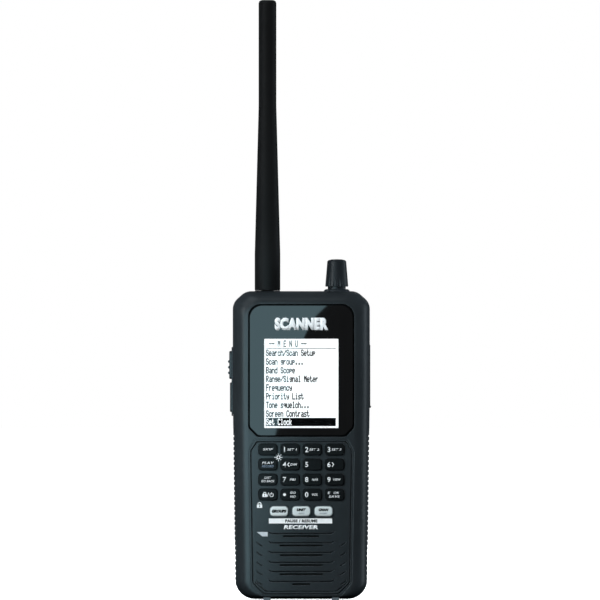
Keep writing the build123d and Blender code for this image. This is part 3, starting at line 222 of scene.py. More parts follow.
def edge_mask(tree, rounded):
    """1 on worn edges, 0 on flat faces."""
    geometry = tree.nodes.new("ShaderNodeNewGeometry")
    dot = tree.nodes.new("ShaderNodeVectorMath")
    dot.operation = "DOT_PRODUCT"
    tree.links.new(geometry.outputs["Normal"], dot.inputs[0])
    tree.links.new(rounded, dot.inputs[1])
    return maths(tree, "SUBTRACT", 1.0, dot.outputs["Value"])


def bump(tree, height, depth, normal=None):
    """Bump node; returns its normal."""
    node = tree.nodes.new("ShaderNodeBump")
    node.inputs["Strength"].default_value = 1.0
    node.inputs["Distance"].default_value = depth
    tree.links.new(height, node.inputs["Height"])
    if normal is not None:
        tree.links.new(normal, node.inputs["Normal"])
    return node.outputs["Normal"]


def moulded(
    name,
    dark,
    light,
    rough,
    grain=0.30,
    depth=0.012,
    wear=(0.2, 0.23, 0.25),
    edge=0.25,
    specular=0.5,
    painted_shade=False,
):
    """Moulded plastic or rubber: mottled colour, fine grain, softened and slightly worn edges, and
    optionally a painted shade towards the bottom.

    The size and the depth of the grain and the softening of the edges are in millimetres.
    """
    material, tree, shader = new_material(name)
    vector = object_coordinates(tree)
    clouds = noise(tree, vector, 45.0, 4.0, 0.6)
    fine = noise(tree, vector, 1.0 / (grain * MM), 2.0, 0.55)
    body = ramp(tree, clouds, [(0.35, dark), (0.65, light)])
    rounded = rounded_normal(tree, edge * MM)
    scuffs = maths(tree, "MULTIPLY", edge_mask(tree, rounded), noise(tree, vector, 160.0, 3.0))
    worn = ramp(tree, scuffs, [(0.02, 0.0), (0.16, 0.55)])
    colour = mix_colour(tree, worn, body, wear)
    # Painted shade: colour and specular level darkened towards the bottom of the piece.
    if painted_shade:
        axes = tree.nodes.new("ShaderNodeSeparateXYZ")
        tree.links.new(vector, axes.inputs[0])
        full_z, clear_z = PAINTED_SHADE_Z
        painted_shade_mask = ramp(tree, axes.outputs["Z"], [(full_z, 1.0), (clear_z, 0.0)])
        colour = mix_colour(tree, painted_shade_mask, colour, PAINTED_SHADE_COLOUR)
        shaded_specular = ramp(tree, axes.outputs["Z"], [(full_z, PAINTED_SHADE_SPECULAR), (clear_z, specular)])
        tree.links.new(shaded_specular, shader.inputs["Specular IOR Level"])
    tree.links.new(colour, shader.inputs["Base Color"])
    rough_spread = ramp(tree, fine, [(0.3, rough - 0.05), (0.7, rough + 0.06)])
    tree.links.new(rough_spread, shader.inputs["Roughness"])
    tree.links.new(bump(tree, fine, depth * MM, rounded), shader.inputs["Normal"])
    shader.inputs["Specular IOR Level"].default_value = specular
    return material


def metal(name, dark, light, rough):
    """Plated metal with fine drawing lines."""
    material, tree, shader = new_material(name)
    vector = object_coordinates(tree, METAL_BRUSH)
    lines = noise(tree, vector, 400.0, 3.0)
    tree.links.new(ramp(tree, lines, [(0.3, dark), (0.7, light)]), shader.inputs["Base Color"])
    rough_spread = ramp(tree, lines, [(0.3, rough - 0.06), (0.7, rough + 0.08)])
    tree.links.new(rough_spread, shader.inputs["Roughness"])
    shader.inputs["Metallic"].default_value = 1.0
    rounded = rounded_normal(tree, METAL_EDGE)
    tree.links.new(bump(tree, lines, 0.004 * MM, rounded), shader.inputs["Normal"])
    return material


def printed(name, dark, light, rough=0.5, specular=0.5):
    """Screen-printed ink, slightly uneven."""
    material, tree, shader = new_material(name)
    vector = object_coordinates(tree)
    blotch = noise(tree, vector, 900.0, 3.0)
    tree.links.new(ramp(tree, blotch, [(0.3, dark), (0.7, light)]), shader.inputs["Base Color"])
    tree.links.new(bump(tree, blotch, 0.003 * MM), shader.inputs["Normal"])
    shader.inputs["Roughness"].default_value = rough
    shader.inputs["Specular IOR Level"].default_value = specular
    return material


def wiping_marks(tree):
    """Faint upright smears, as a cloth leaves them."""
    return noise(tree, object_coordinates(tree, (1.0, 1.0, 0.35)), 60.0, 5.0, 0.65)


def lens_gloss():
    """Polished black lens print: deep gloss with faint wiping marks."""
    material, tree, shader = new_material("lens_gloss")
    wipes = wiping_marks(tree)
    tree.links.new(ramp(tree, wipes, [(0.3, 0.004), (0.7, 0.006)]), shader.inputs["Base Color"])
    tree.links.new(ramp(tree, wipes, [(0.35, 0.03), (0.75, 0.07)]), shader.inputs["Roughness"])
    tree.links.new(rounded_normal(tree, LENS_EDGE), shader.inputs["Normal"])
    shader.inputs["IOR"].default_value = LENS_IOR
    return material


def clear_pane():
    """Clear window of the lens."""
    material, tree, shader = new_material("clear_pane")
    wipes = wiping_marks(tree)
    tree.links.new(ramp(tree, wipes, [(0.35, 0.0), (0.8, 0.01)]), shader.inputs["Roughness"])
    shader.inputs["Base Color"].default_value = (1.0, 1.0, 1.0, 1.0)
    shader.inputs["Transmission Weight"].default_value = 1.0
    shader.inputs["IOR"].default_value = PANE_IOR
    return material


def display_white():
    """Backlit display: an even white glow with a faint dot grid."""
    material, tree, shader = new_material("display_white")
    vector = object_coordinates(tree)
    dots = tree.nodes.new("ShaderNodeTexChecker")
    dots.inputs["Scale"].default_value = 1.0 / DOT_W
    tree.links.new(vector, dots.inputs["Vector"])
    clouds = noise(tree, vector, 30.0, 1.0)
    glow = ramp(tree, clouds, [(0.2, (0.93, 0.95, 0.95)), (0.8, (1.0, 1.0, 1.0))])
    faint = maths(tree, "MULTIPLY", dots.outputs["Fac"], 0.05)
    grid = mix_colour(tree, faint, glow, (0.7, 0.74, 0.74))
    tree.links.new(grid, shader.inputs["Emission Color"])
    shader.inputs["Emission Strength"].default_value = DISPLAY_GLOW
    shader.inputs["Base Color"].default_value = (0.35, 0.36, 0.36, 1.0)
    shader.inputs["Roughness"].default_value = 0.4
    return material


def circuit_board():
    """Green solder mask with traces and pads."""
    material, tree, shader = new_material("circuit_board")
    vector = object_coordinates(tree)
    cells = tree.nodes.new("ShaderNodeTexVoronoi")
    cells.distance = "MANHATTAN"
    cells.inputs["Scale"].default_value = 320.0
    tree.links.new(vector, cells.inputs["Vector"])
    mask_green = [(0.30, (0.012, 0.10, 0.045)), (0.36, (0.02, 0.16, 0.07))]
    tracks = ramp(tree, cells.outputs["Distance"], mask_green)
    pads = ramp(tree, noise(tree, vector, 700.0), [(0.70, 0.0), (0.72, 1.0)])
    colour = mix_colour(tree, pads, tracks, (0.5, 0.45, 0.3))
    tree.links.new(colour, shader.inputs["Base Color"])
    tree.links.new(bump(tree, cells.outputs["Distance"], 0.02 * MM), shader.inputs["Normal"])
    shader.inputs["Roughness"].default_value = 0.35
    return material


def woven_cloth():
    """Black dust cloth."""
    material, tree, shader = new_material("speaker_cloth")
    vector = object_coordinates(tree)
    weave = tree.nodes.new("ShaderNodeTexWave")
    weave.wave_type = "BANDS"
    weave.bands_direction = "DIAGONAL"
    weave.inputs["Scale"].default_value = 900.0
    weave.inputs["Distortion"].default_value = 2.0
    tree.links.new(vector, weave.inputs["Vector"])
    threads = ramp(tree, weave.outputs["Fac"], [(0.2, 0.003), (0.8, 0.012)])
    tree.links.new(threads, shader.inputs["Base Color"])
    tree.links.new(bump(tree, weave.outputs["Fac"], 0.08 * MM), shader.inputs["Normal"])
    shader.inputs["Roughness"].default_value = 0.9
    return material


def cell_sleeve():
    """Printed sleeve of a dry cell: bare foot, dark blue body, copper-coloured upper part."""
    material, tree, shader = new_material("cell_wrap")
    vector = object_coordinates(tree)
    split = tree.nodes.new("ShaderNodeSeparateXYZ")
    tree.links.new(vector, split.inputs["Vector"])
    height = maths(tree, "MULTIPLY", split.outputs["Z"], 1.0 / SLEEVE_SPAN)
    bands = [
        (0.25, (0.5, 0.5, 0.48)),
        (0.27, (0.02, 0.03, 0.09)),
        (0.74, (0.025, 0.035, 0.10)),
        (0.76, (0.55, 0.3, 0.12)),
    ]
    tree.links.new(ramp(tree, height, bands), shader.inputs["Base Color"])
    scuff = noise(tree, vector, 300.0, 4.0)
    tree.links.new(ramp(tree, scuff, [(0.3, 0.22), (0.7, 0.4)]), shader.inputs["Roughness"])
    shader.inputs["Metallic"].default_value = 0.6
    return material


# The first part holds the material slots of the record, the second the finishes of added pieces.
MATERIALS = {
    "case_plastic": moulded(
        "case_plastic",
        (0.0115, 0.0145, 0.0165),
        (0.0145, 0.0180, 0.0205),
        0.36,
        grain=0.34,
        # Painted shade along the bottom edge of the case.
        painted_shade=True,
    ),
    "alert_white": printed("alert_white", (0.46, 0.51, 0.55), (0.54, 0.59, 0.63), 0.35),
    "mat_rubber": moulded(
        "mat_rubber",
        (0.002, 0.0022, 0.0024),
        (0.003, 0.0033, 0.0036),
        0.7,
        wear=(0.01, 0.011, 0.012),
        specular=0.1,
    ),
    "display_white": display_white(),
    "plated_steel": metal("plated_steel", (0.42, 0.42, 0.41), (0.6, 0.6, 0.58), 0.32),
    "circuit_board": circuit_board(),
    "chip_black": moulded("chip_black", (0.006, 0.006, 0.006), (0.012, 0.012, 0.012), 0.6, 0.2),
    "speaker_paper": moulded(
        "speaker_paper", (0.01, 0.01, 0.01), (0.018, 0.018, 0.017), 0.8, 0.5, 0.03
    ),
    "speaker_cloth": woven_cloth(),
    "brass_plated": metal("brass_plated", (0.62, 0.44, 0.18), (0.83, 0.62, 0.3), 0.26),
    "aerial_rubber": moulded(
        "aerial_rubber",
        (0.0040, 0.0040, 0.0041),
        (0.0055, 0.0055, 0.0056),
        0.55,
        0.5,
        0.01,
        specular=0.22,
    ),
    "foot_rubber": moulded(
        "foot_rubber", (0.085, 0.105, 0.12), (0.11, 0.13, 0.145), 0.7, 0.4, 0.03
    ),
    "trim_plastic": moulded("trim_plastic", (0.010, 0.013, 0.016), (0.014, 0.018, 0.021), 0.42),
    "knob_plastic": moulded(
        "knob_plastic", (0.0080, 0.0100, 0.0120), (0.0105, 0.0130, 0.0150), 0.36, 0.3, 0.008
    ),
    "side_key_plastic": moulded(
        "side_key_plastic", (0.010, 0.012, 0.014), (0.014, 0.017, 0.019), 0.4
    ),
    "port_rubber": moulded(
        "port_rubber", (0.014, 0.017, 0.02), (0.019, 0.023, 0.027), 0.62, 0.4, 0.02
    ),
    "cell_wrap": cell_sleeve(),
    "screw_steel": metal("screw_steel", (0.08, 0.08, 0.085), (0.16, 0.16, 0.17), 0.38),
    "key_rubber": moulded(
        "key_rubber",
        (0.0018, 0.0019, 0.0020),
        (0.0026, 0.0028, 0.0030),
        0.5,
        0.25,
        0.006,
        specular=0.2,
    ),
    "soft_key_silver": moulded(
        "soft_key_silver",
        (0.50, 0.57, 0.58),
        (0.61, 0.68, 0.69),
        0.3,
        0.3,
        0.006,
        wear=(0.45, 0.51, 0.52),
        edge=1.1,
    ),
    "lens_gloss": lens_gloss(),
    "clear_pane": clear_pane(),
    "white_ink": printed("white_ink", (0.78, 0.82, 0.84), (0.88, 0.91, 0.92)),
    "blue_ink": printed("blue_ink", (0.16, 0.22, 0.30), (0.22, 0.29, 0.38)),
    "key_skirt": moulded("key_skirt", (0.045, 0.055, 0.06), (0.06, 0.07, 0.075), 0.5, 0.3, 0.01),
    "grey_ink": printed("grey_ink", (0.30, 0.34, 0.37), (0.38, 0.42, 0.45)),
    "black_ink": printed("black_ink", (0.002, 0.002, 0.002), (0.004, 0.004, 0.004), 0.6, 0.2),
    "screen_ink": printed("screen_ink", (0.001, 0.001, 0.001), (0.002, 0.002, 0.002), 0.9, 0.0),
    "screen_faint": printed("screen_faint", (0.02, 0.02, 0.02), (0.03, 0.03, 0.03), 0.9, 0.0),
}


def dress_cad_nodes():
    """Give every CAD node the finish of its material slot."""
    for entry in frame["record"]["subparts"]:
        mesh = nodes[entry["node"]].data
        mesh.materials.clear()
        mesh.materials.append(MATERIALS[entry["material_slot"]])


# ---------------------------------------------------------------- shape helpers
FACING_FRONT = Matrix.Rotation(pi / 2, 4, "X")
CORNER_STEPS = 6


def finish_piece(piece, material, body=ROOT):
    """Give a new piece its material and the body that carries it."""
    piece.data.materials.clear()
    piece.data.materials.append(MATERIALS[material])
    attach(piece, body)


def mesh_object(name, mesh):
    """Object that shows a mesh."""
    piece = bpy.data.objects.new(name, mesh)
    bpy.context.scene.collection.objects.link(piece)
    return piece


def mesh_piece(name, verts, faces):
    """Object from vertices and faces, in metres."""
    mesh = bpy.data.meshes.new(name)
    mesh.from_pydata(verts, [], faces)
    mesh.update()
    return mesh_object(name, mesh)


def evaluated_mesh(holder):
    """New mesh from an object, with its curve outline or its modifiers worked out."""
    bpy.context.view_layer.update()
    return bpy.data.meshes.new_from_object(
        holder.evaluated_get(bpy.context.evaluated_depsgraph_get())
    )


def baked_curve(name, curve, turn):
    """Turn a curve or text into a mesh piece, with its plane turned by a matrix."""
    holder = bpy.data.objects.new(name + "_outline", curve)
    bpy.context.scene.collection.objects.link(holder)
    mesh = evaluated_mesh(holder)
    bpy.data.objects.remove(holder)
    mesh.name = name
    mesh.transform(turn)
    return mesh_object(name, mesh)


def arc_points(x, z, radius, start, end, steps=14):
    """Points along an arc, angles in degrees from +X."""
    angles = [radians(start + (end - start) * i / steps) for i in range(steps + 1)]
    return [(x + radius * cos(a), z + radius * sin(a)) for a in angles]


def rounded_rectangle(x, z, width, height, radius):
    """Closed outline of a rectangle with round corners."""
    points = []
    for quarter, (sx, sz) in enumerate(((1, 1), (-1, 1), (-1, -1), (1, -1))):
        cx = x + sx * (width / 2 - radius)
        cz = z + sz * (height / 2 - radius)
        start = 90 * quarter
        points += arc_points(cx, cz, radius, start, start + 90, CORNER_STEPS)
    return points


def plate(name, loops, y_front, y_back, edge=0.0):
    """Flat piece facing the front, from an outline and its holes, with softened edges."""
    curve = bpy.data.curves.new(name, "CURVE")
    curve.dimensions = "2D"
    curve.fill_mode = "BOTH"
    curve.extrude = (y_back - y_front) / 2 - edge
    curve.bevel_depth = edge
    curve.bevel_resolution = 2
    curve.offset = -edge
    for loop in loops:
        spline = curve.splines.new("POLY")
        spline.points.add(len(loop) - 1)
        spline.use_cyclic_u = True
        for point, (x, z) in zip(spline.points, loop):
            point.co = (x, z, 0, 1)
    piece = baked_curve(name, curve, FACING_FRONT)
    piece.data.transform(Matrix.Translation((0, (y_front + y_back) / 2, 0)))
    return piece


def fitted_text(name, text, place, size, y, weight, slant=0.0, thickness=INK):
    """Raised lettering centred on a place in x and z and fitted to a width and height.

    Without a width, the lettering keeps its own proportions.
    """
    curve = bpy.data.curves.new(name, "FONT")
    curve.body = text
    curve.shear = slant
    curve.offset = weight
    curve.space_character = 1.06
    curve.resolution_u = 4
    piece = baked_curve(name, curve, Matrix.Identity(4))
    low = [min(v.co[i] for v in piece.data.vertices) for i in range(2)]
    high = [max(v.co[i] for v in piece.data.vertices) for i in range(2)]
    centre = Vector(((low[0] + high[0]) / 2, (low[1] + high[1]) / 2, 0))
    width, height = size
    up = height / (high[1] - low[1])
    across = up if width is None else width / (high[0] - low[0])
    piece.data.transform(Matrix.Translation(-centre))
    piece.data.transform(Matrix.Diagonal((across, up, 1, 1)))
    piece.data.transform(FACING_FRONT)
    piece.data.transform(Matrix.Translation((place[0], y, place[1])))
    solidify(piece, thickness)
    return piece


def solidify(piece, thickness):
    """Give a flat piece a thickness towards the front and bake it into the mesh."""
    modifier = piece.modifiers.new("thickness", "SOLIDIFY")
    modifier.thickness = thickness
    modifier.offset = 1.0
    mesh = evaluated_mesh(piece)
    piece.modifiers.clear()
    piece.data = mesh


# ---------------------------------------------------------------- lens and display
WINDOW_HALF_W = 17.95 * MM
WINDOW_LOW = 83.7 * MM
WINDOW_HIGH = 126.85 * MM
WINDOW_CORNER = 0.3 * MM
PANE_GAP = 0.02 * MM
PANE_SINK = 0.01 * MM
LENS_TOP_RADIUS = 6.0 * MM
LENS_CUT = 4.3 * MM
LENS_CUT_SOFT = 0.9 * MM
WORDMARK_PLACE = (0.1 * MM, 134.05 * MM)
WORDMARK_SIZE = (26.0 * MM, 6.1 * MM)
WORDMARK_WEIGHT = 0.075
WORDMARK_THICKNESS = 0.02 * MM


def lens_outline():
    """Outline of the lens: round upper corners, cut lower corners."""
    low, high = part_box("display_lens")
    radius, cut, soft = LENS_TOP_RADIUS, LENS_CUT, LENS_CUT_SOFT
    points = arc_points(high.x - radius, high.z - radius, radius, 0, 90, 8)
    points += [(-x, z) for x, z in reversed(points)]
    lower_right = [
        (high.x - cut - soft, low.z),
        (high.x - cut + soft * 0.55, low.z + soft * 0.4),
        (high.x - soft * 0.4, low.z + cut - soft * 0.55),
        (high.x, low.z + cut + soft),
    ]
    lower_left = [(-x, z) for x, z in reversed(lower_right)]
    return points + lower_left + lower_right


def window_loop(gap):
    """Outline of the window, drawn in by a gap."""
    mid_z = (WINDOW_LOW + WINDOW_HIGH) / 2
    width = 2 * (WINDOW_HALF_W - gap)
    return rounded_rectangle(0, mid_z, width, WINDOW_HIGH - WINDOW_LOW - 2 * gap, WINDOW_CORNER)


def make_lens():
    """Black printed lens with a clear window."""
    low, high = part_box("display_lens")
    bezel = plate("lens_bezel", [lens_outline(), window_loop(0.0)[::-1]], low.y, high.y)
    finish_piece(bezel, "lens_gloss")
    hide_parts("display_lens")
    pane = plate("lens_window", [window_loop(PANE_GAP)], low.y + PANE_SINK, high.y)
    finish_piece(pane, "clear_pane")
    wordmark = fitted_text(
        "lens_wordmark",
        "SCANNER",
        WORDMARK_PLACE,
        WORDMARK_SIZE,
        low.y,
        WORDMARK_WEIGHT,
        thickness=WORDMARK_THICKNESS,
    )
    finish_piece(wordmark, "white_ink")


# Letters of the display as seven rows of five dots, from the top.
GLYPHS = {
    "B": "####. #...# #...# ####. #...# #...# ####.",
    "C": ".###. #...# #.... #.... #.... #...# .###.",
    "E": "##### #.... #.... ####. #.... #.... #####",
    "F": "##### #.... #.... ####. #.... #.... #....",
    "L": "#.... #.... #.... #.... #.... #.... #####",
    "M": "#...# ##.## #.#.# #.#.# #...# #...# #...#",
    "N": "#...# ##..# ##..# #.#.# #..## #..## #...#",
    "P": "####. #...# #...# ####. #.... #.... #....",
    "R": "####. #...# #...# ####. #.#.. #..#. #...#",
    "S": ".###. #...# #.... .###. ....# #...# .###.",
    "T": "##### ..#.. ..#.. ..#.. ..#.. ..#.. ..#..",
    "U": "#...# #...# #...# #...# #...# #...# .###.",
    "a": "..... ..... .###. ....# .#### #...# .####",
    "c": "..... ..... .###. #...# #.... #...# .###.",
    "d": "....# ....# .#### #...# #...# #...# .####",
    "e": "..... ..... .###. #...# ##### #.... .###.",
    "g": "..... ..... .#### #...# .#### ....# .###.",
    "h": "#.... #.... ####. #...# #...# #...# #...#",
    "i": "..#.. ..... .##.. ..#.. ..#.. ..#.. .###.",
    "k": "#.... #.... #..#. #.#.. ##... #.#.. #..#.",
    "l": ".##.. ..#.. ..#.. ..#.. ..#.. ..#.. .###.",
    "n": "..... ..... ####. #...# #...# #...# #...#",
    "o": "..... ..... .###. #...# #...# #...# .###.",
    "p": "..... ..... ####. #...# ####. #.... #....",
    "q": "..... ..... .#### #...# .#### ....# ....#",
    "r": "..... ..... #.##. ##... #.... #.... #....",
    "s": "..... ..... .#### #.... .###. ....# ####.",
    "t": ".#... .#... ###.. .#... .#... .#..# ..##.",
    "u": "..... ..... #...# #...# #...# #...# .####",
    "y": "..... ..... #...# #...# .#### ....# .###.",
    "/": "....# ....# ...#. ..#.. .#... #.... #....",
    "-": "..... ..... ..... ##### ..... ..... .....",
    ".": "..... ..... ..... ..... ..... .##.. .##..",
    " ": "..... ..... ..... ..... ..... ..... .....",
}
LETTER_PITCH = 6
TEXT_LEFT = -17.0 * MM
ROW_TOP = 121.6 * MM
ROW_PITCH = 4.2 * MM
MENU_ROWS = (
    "Search/Scan Setup",
    "Scan group...",
    "Band Scope",
    "Range/Signal Meter",
    "Frequency",
    "Priority List",
    "Tone squelch...",
    "Screen Contrast",
)
CHOSEN_ROW = "Set Clock"
CHOSEN_TOP = 88.2 * MM
CHOSEN_RAISE = 0.02 * MM
HEADER = "-- M E N U --"
HEADER_LEFT = -15.6 * MM
HEADER_TOP = 126.0 * MM
# Boxes on the display: left, right, low and high.
HEADER_RULE = (-17.0 * MM, 16.7 * MM, 122.1 * MM, 122.42 * MM)
CHOSEN_BAR = (-17.15 * MM, 16.7 * MM, 84.6 * MM, 88.6 * MM)
# How far the lit dots of each kind of line run past their cells.
HEADER_SPREAD = 0.07 * MM
MENU_SPREAD = 0.09 * MM
CHOSEN_SPREAD = 0.05 * MM


def dot_runs(text, left, top, spread):
    """Boxes in X and Z for the lit dots of a line of text, side-by-side dots joined."""
    runs = []
    for place, letter in enumerate(text):
        for row, bits in enumerate(GLYPHS[letter].split()):
            z = top - row * DOT_H
            start = None
            for column, bit in enumerate(bits + "."):
                if bit == "#" and start is None:
                    start = column
                if bit == "." and start is not None:
                    x = left + (place * LETTER_PITCH + start) * DOT_W
                    right = x + (column - start) * DOT_W
                    runs.append((x - spread, right + spread, z - DOT_H - spread, z + spread))
                    start = None
    return runs


def slab_boxes(name, boxes, y_front, y_back):
    """One piece made of separate thin boxes."""
    verts = []
    faces = []
    for x0, x1, z0, z1 in boxes:
        n = len(verts)
        for y in (y_front, y_back):
            verts += [(x0, y, z0), (x1, y, z0), (x1, y, z1), (x0, y, z1)]
        faces += [(n, n + 1, n + 2, n + 3), (n + 7, n + 6, n + 5, n + 4)]
        faces += [(n + i, n + 4 + i, n + 4 + (i + 1) % 4, n + (i + 1) % 4) for i in range(4)]
    return mesh_piece(name, verts, faces)


def make_screen():
    """Menu on the display, with its last line picked out."""
    glass_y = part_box("lcd_module")[0].y
    front = glass_y - INK
    header = dot_runs(HEADER, HEADER_LEFT, HEADER_TOP, HEADER_SPREAD) + [HEADER_RULE]
    rows = []
    for i, text in enumerate(MENU_ROWS):
        rows += dot_runs(text, TEXT_LEFT, ROW_TOP - i * ROW_PITCH, MENU_SPREAD)
    chosen = dot_runs(CHOSEN_ROW, TEXT_LEFT, CHOSEN_TOP, CHOSEN_SPREAD)
    finish_piece(
        slab_boxes("screen_header", header, front, glass_y), "screen_faint"
    )
    finish_piece(slab_boxes("screen_menu", rows, front, glass_y), "screen_ink")
    finish_piece(
        slab_boxes("screen_bar", [CHOSEN_BAR], front, glass_y), "screen_ink"
    )
    finish_piece(
        slab_boxes("screen_choice", chosen, front - CHOSEN_RAISE, front),
        "display_white",
    )


# ---------------------------------------------------------------- legends and print
# The alert lens stands this far out of the panel that carries the print.
ALERT_RELIEF = 0.15 * MM
PANEL_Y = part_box("alert_lens")[0].y + ALERT_RELIEF
PANEL_LOCK_PLACE = (-20.2 * MM, 46.4 * MM)
PANEL_LOCK_SIZE = 2.6 * MM
LAMP_PLACE = (-11.05 * MM, 69.5 * MM)
LAMP_RADIUS = 1.0 * MM
LAMP_HOLE_RADIUS = 0.55 * MM
LAMP_RAY_REACH = (1.3 * MM, 1.85 * MM)
LAMP_RAY_WIDTH = 0.38 * MM
LAMP_RAYS = 8
LABEL_BAR_PLACE = (-0.4 * MM, 38.75 * MM)
LABEL_BAR_SIZE = (30.6 * MM, 2.45 * MM)
LABEL_BAR_CORNER = 0.15 * MM
LABEL_WORDS_SIZE = (15.6 * MM, 1.5 * MM)
PANEL_LINE_PLACE = (-0.2 * MM, 35.75 * MM)
PANEL_LINE_SIZE = (16.6 * MM, 1.95 * MM)
PANEL_WEIGHT = 0.05
PANEL_SLANT = 0.15
ARROW_X = -0.85 * MM
ARROW_HALF_W = 0.4 * MM
ARROW_HALF_H = 1.0 * MM
ARROW_STROKE = 0.4 * MM
KEY_LOCK_X = -1.6 * MM
KEY_LOCK_SIZE = 2.2 * MM
SLASH_HALF_W = 0.35 * MM
SLASH_HALF_H = 1.0 * MM
POWER_X = 1.75 * MM
POWER_RING_Z = -0.15 * MM
POWER_RING_RADIUS = 0.85 * MM
POWER_RING_SPAN = (125, 415)
POWER_BAR_Z = (0.1 * MM, 1.15 * MM)
POWER_STROKE = 0.3 * MM
# The flange round the foot of a silver key lies under the panel; the skirt fits the key above it.
KEY_FLANGE = 0.5 * MM
SKIRT_GROW = 0.52 * MM
SKIRT_SHRINK = 0.1 * MM
SKIRT_OUTER_CORNER = 1.9 * MM
SKIRT_INNER_CORNER = 1.65 * MM
SKIRT_FRONT = PANEL_Y - 0.5 * MM
SKIRT_BACK = PANEL_Y + 1.0 * MM
SKIRT_EDGE = 0.08 * MM


def key_centre(key):
    """Middle of a key's front face, as x, y and z."""
    low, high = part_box(key)
    return (low.x + high.x) / 2, low.y, (low.z + high.z) / 2


def flat_print(name, loops, y, body=ROOT):
    """White print of the ink's thickness on a face at a depth."""
    finish_piece(plate(name, loops, y - INK, y), "white_ink", body)


def key_words(key, words, y, weight, slant):
    """Small words on a key; each is text, place, size and ink."""
    for number, (word, place, size, ink) in enumerate(words, 1):
        text = fitted_text(f"{key}_word_{number}", word, place, size, y, weight, slant)
        finish_piece(text, ink, key)


def make_key_legends():
    """White figures and small function words on the black keys, and words on the silver ones."""
    for key, (figure, words) in KEY_LEGENDS.items():
        x, y, z = key_centre(key)
        place = (x + FIGURE_X * MM, z)
        if figure == ".":
            # The corner radius is just under half the size, so that the corners stay apart.
            size = POINT_SIZE * MM
            point = rounded_rectangle(*place, size, size, size / 2.01)
            flat_print(f"{key}_figure", [point], y, key)
        elif figure:
            size = (None, FIGURE_HEIGHT * MM)
            text = fitted_text(f"{key}_figure", figure, place, size, y, FIGURE_WEIGHT)
            finish_piece(text, "white_ink", key)
        laid_out = [
            (word, (x + across * MM, z + up * MM), (width * MM, WORD_HEIGHT * MM), ink)
            for word, across, up, width, ink in words
        ]
        key_words(key, laid_out, y, WORD_WEIGHT, WORD_SLANT)
    make_arrow_head("key_4", 1)
    make_arrow_head("key_6", -1)
    for key, words in SOFT_LEGENDS.items():
        x, y, z = key_centre(key)
        laid_out = [
            (word, (x + across * MM, z + up * MM), (width * MM, height * MM), ink)
            for word, across, up, width, height, ink in words
        ]
        key_words(key, laid_out, y, SOFT_WEIGHT, SOFT_SLANT)


def stroke_loop(points, width):
    """Closed outline of a bent stroke of even width."""
    left = []
    right = []
    for i, (x, z) in enumerate(points):
        before = Vector(points[max(i - 1, 0)])
        after = Vector(points[min(i + 1, len(points) - 1)])
        along = (after - before).normalized()
        left.append((x - along.y * width / 2, z + along.x * width / 2))
        right.append((x + along.y * width / 2, z - along.x * width / 2))
    return left + right[::-1]


def make_arrow_head(key, side):
    """Angle bracket beside a figure; it points left for side 1 and right for side -1."""
    x, y, z = key_centre(key)
    tip = x + ARROW_X - ARROW_HALF_W * side
    back = x + ARROW_X + ARROW_HALF_W * side
    bends = [(back, z + ARROW_HALF_H), (tip, z), (back, z - ARROW_HALF_H)]
    flat_print(f"{key}_arrow", [stroke_loop(bends, ARROW_STROKE)], y, key)


def padlock_loops(x, z, size):
    """Outline of a closed padlock."""
    body = rounded_rectangle(x, z - 0.2 * size, size, 0.62 * size, 0.1 * size)
    keyhole = rounded_rectangle(x, z - 0.2 * size, 0.16 * size, 0.3 * size, 0.07 * size)
    shackle = [(x + 0.27 * size, z + 0.11 * size)]
    shackle += arc_points(x, z + 0.22 * size, 0.27 * size, 0, 180)
    shackle += [(x - 0.27 * size, z + 0.11 * size)]
    return [body, keyhole[::-1], stroke_loop(shackle, 0.16 * size)]


def make_power_symbols():
    """Padlock and power signs on the power key, with a slash between them."""
    x, y, z = key_centre("key_power")
    padlock = padlock_loops(x + KEY_LOCK_X, z, KEY_LOCK_SIZE)
    flat_print("key_power_lock", padlock, y, "key_power")
    slash = [(x - SLASH_HALF_W, z - SLASH_HALF_H), (x + SLASH_HALF_W, z + SLASH_HALF_H)]
    ring = arc_points(x + POWER_X, z + POWER_RING_Z, POWER_RING_RADIUS, *POWER_RING_SPAN)
    bar = [(x + POWER_X, z + up) for up in POWER_BAR_Z]
    strokes = [stroke_loop(points, POWER_STROKE) for points in (slash, ring, bar)]
    flat_print("key_power_sign", strokes, y, "key_power")


def make_panel_print():
    """Print on the panel: padlock, lamp sign, label bar and the line under it."""
    flat_print("panel_lock", padlock_loops(*PANEL_LOCK_PLACE, PANEL_LOCK_SIZE), PANEL_Y)
    x, z = LAMP_PLACE
    ring = arc_points(x, z, LAMP_RADIUS, 0, 360, 24)[:-1]
    hole = arc_points(x, z, LAMP_HOLE_RADIUS, 0, 360, 24)[:-1]
    loops = [ring, hole[::-1]]
    for i in range(LAMP_RAYS):
        angle = 2 * pi / LAMP_RAYS * i
        ray = [(x + reach * cos(angle), z + reach * sin(angle)) for reach in LAMP_RAY_REACH]
        loops.append(stroke_loop(ray, LAMP_RAY_WIDTH))
    flat_print("panel_lamp_sign", loops, PANEL_Y)
    bar = rounded_rectangle(*LABEL_BAR_PLACE, *LABEL_BAR_SIZE, LABEL_BAR_CORNER)
    flat_print("panel_label_bar", [bar], PANEL_Y)
    words = fitted_text(
        "panel_label_words",
        "PAUSE / RESUME",
        (0, LABEL_BAR_PLACE[1]),
        LABEL_WORDS_SIZE,
        PANEL_Y - INK,
        PANEL_WEIGHT,
    )
    finish_piece(words, "black_ink")
    line = fitted_text(
        "panel_line",
        "RECEIVER",
        PANEL_LINE_PLACE,
        PANEL_LINE_SIZE,
        PANEL_Y,
        PANEL_WEIGHT,
        PANEL_SLANT,
    )
    finish_piece(line, "white_ink")


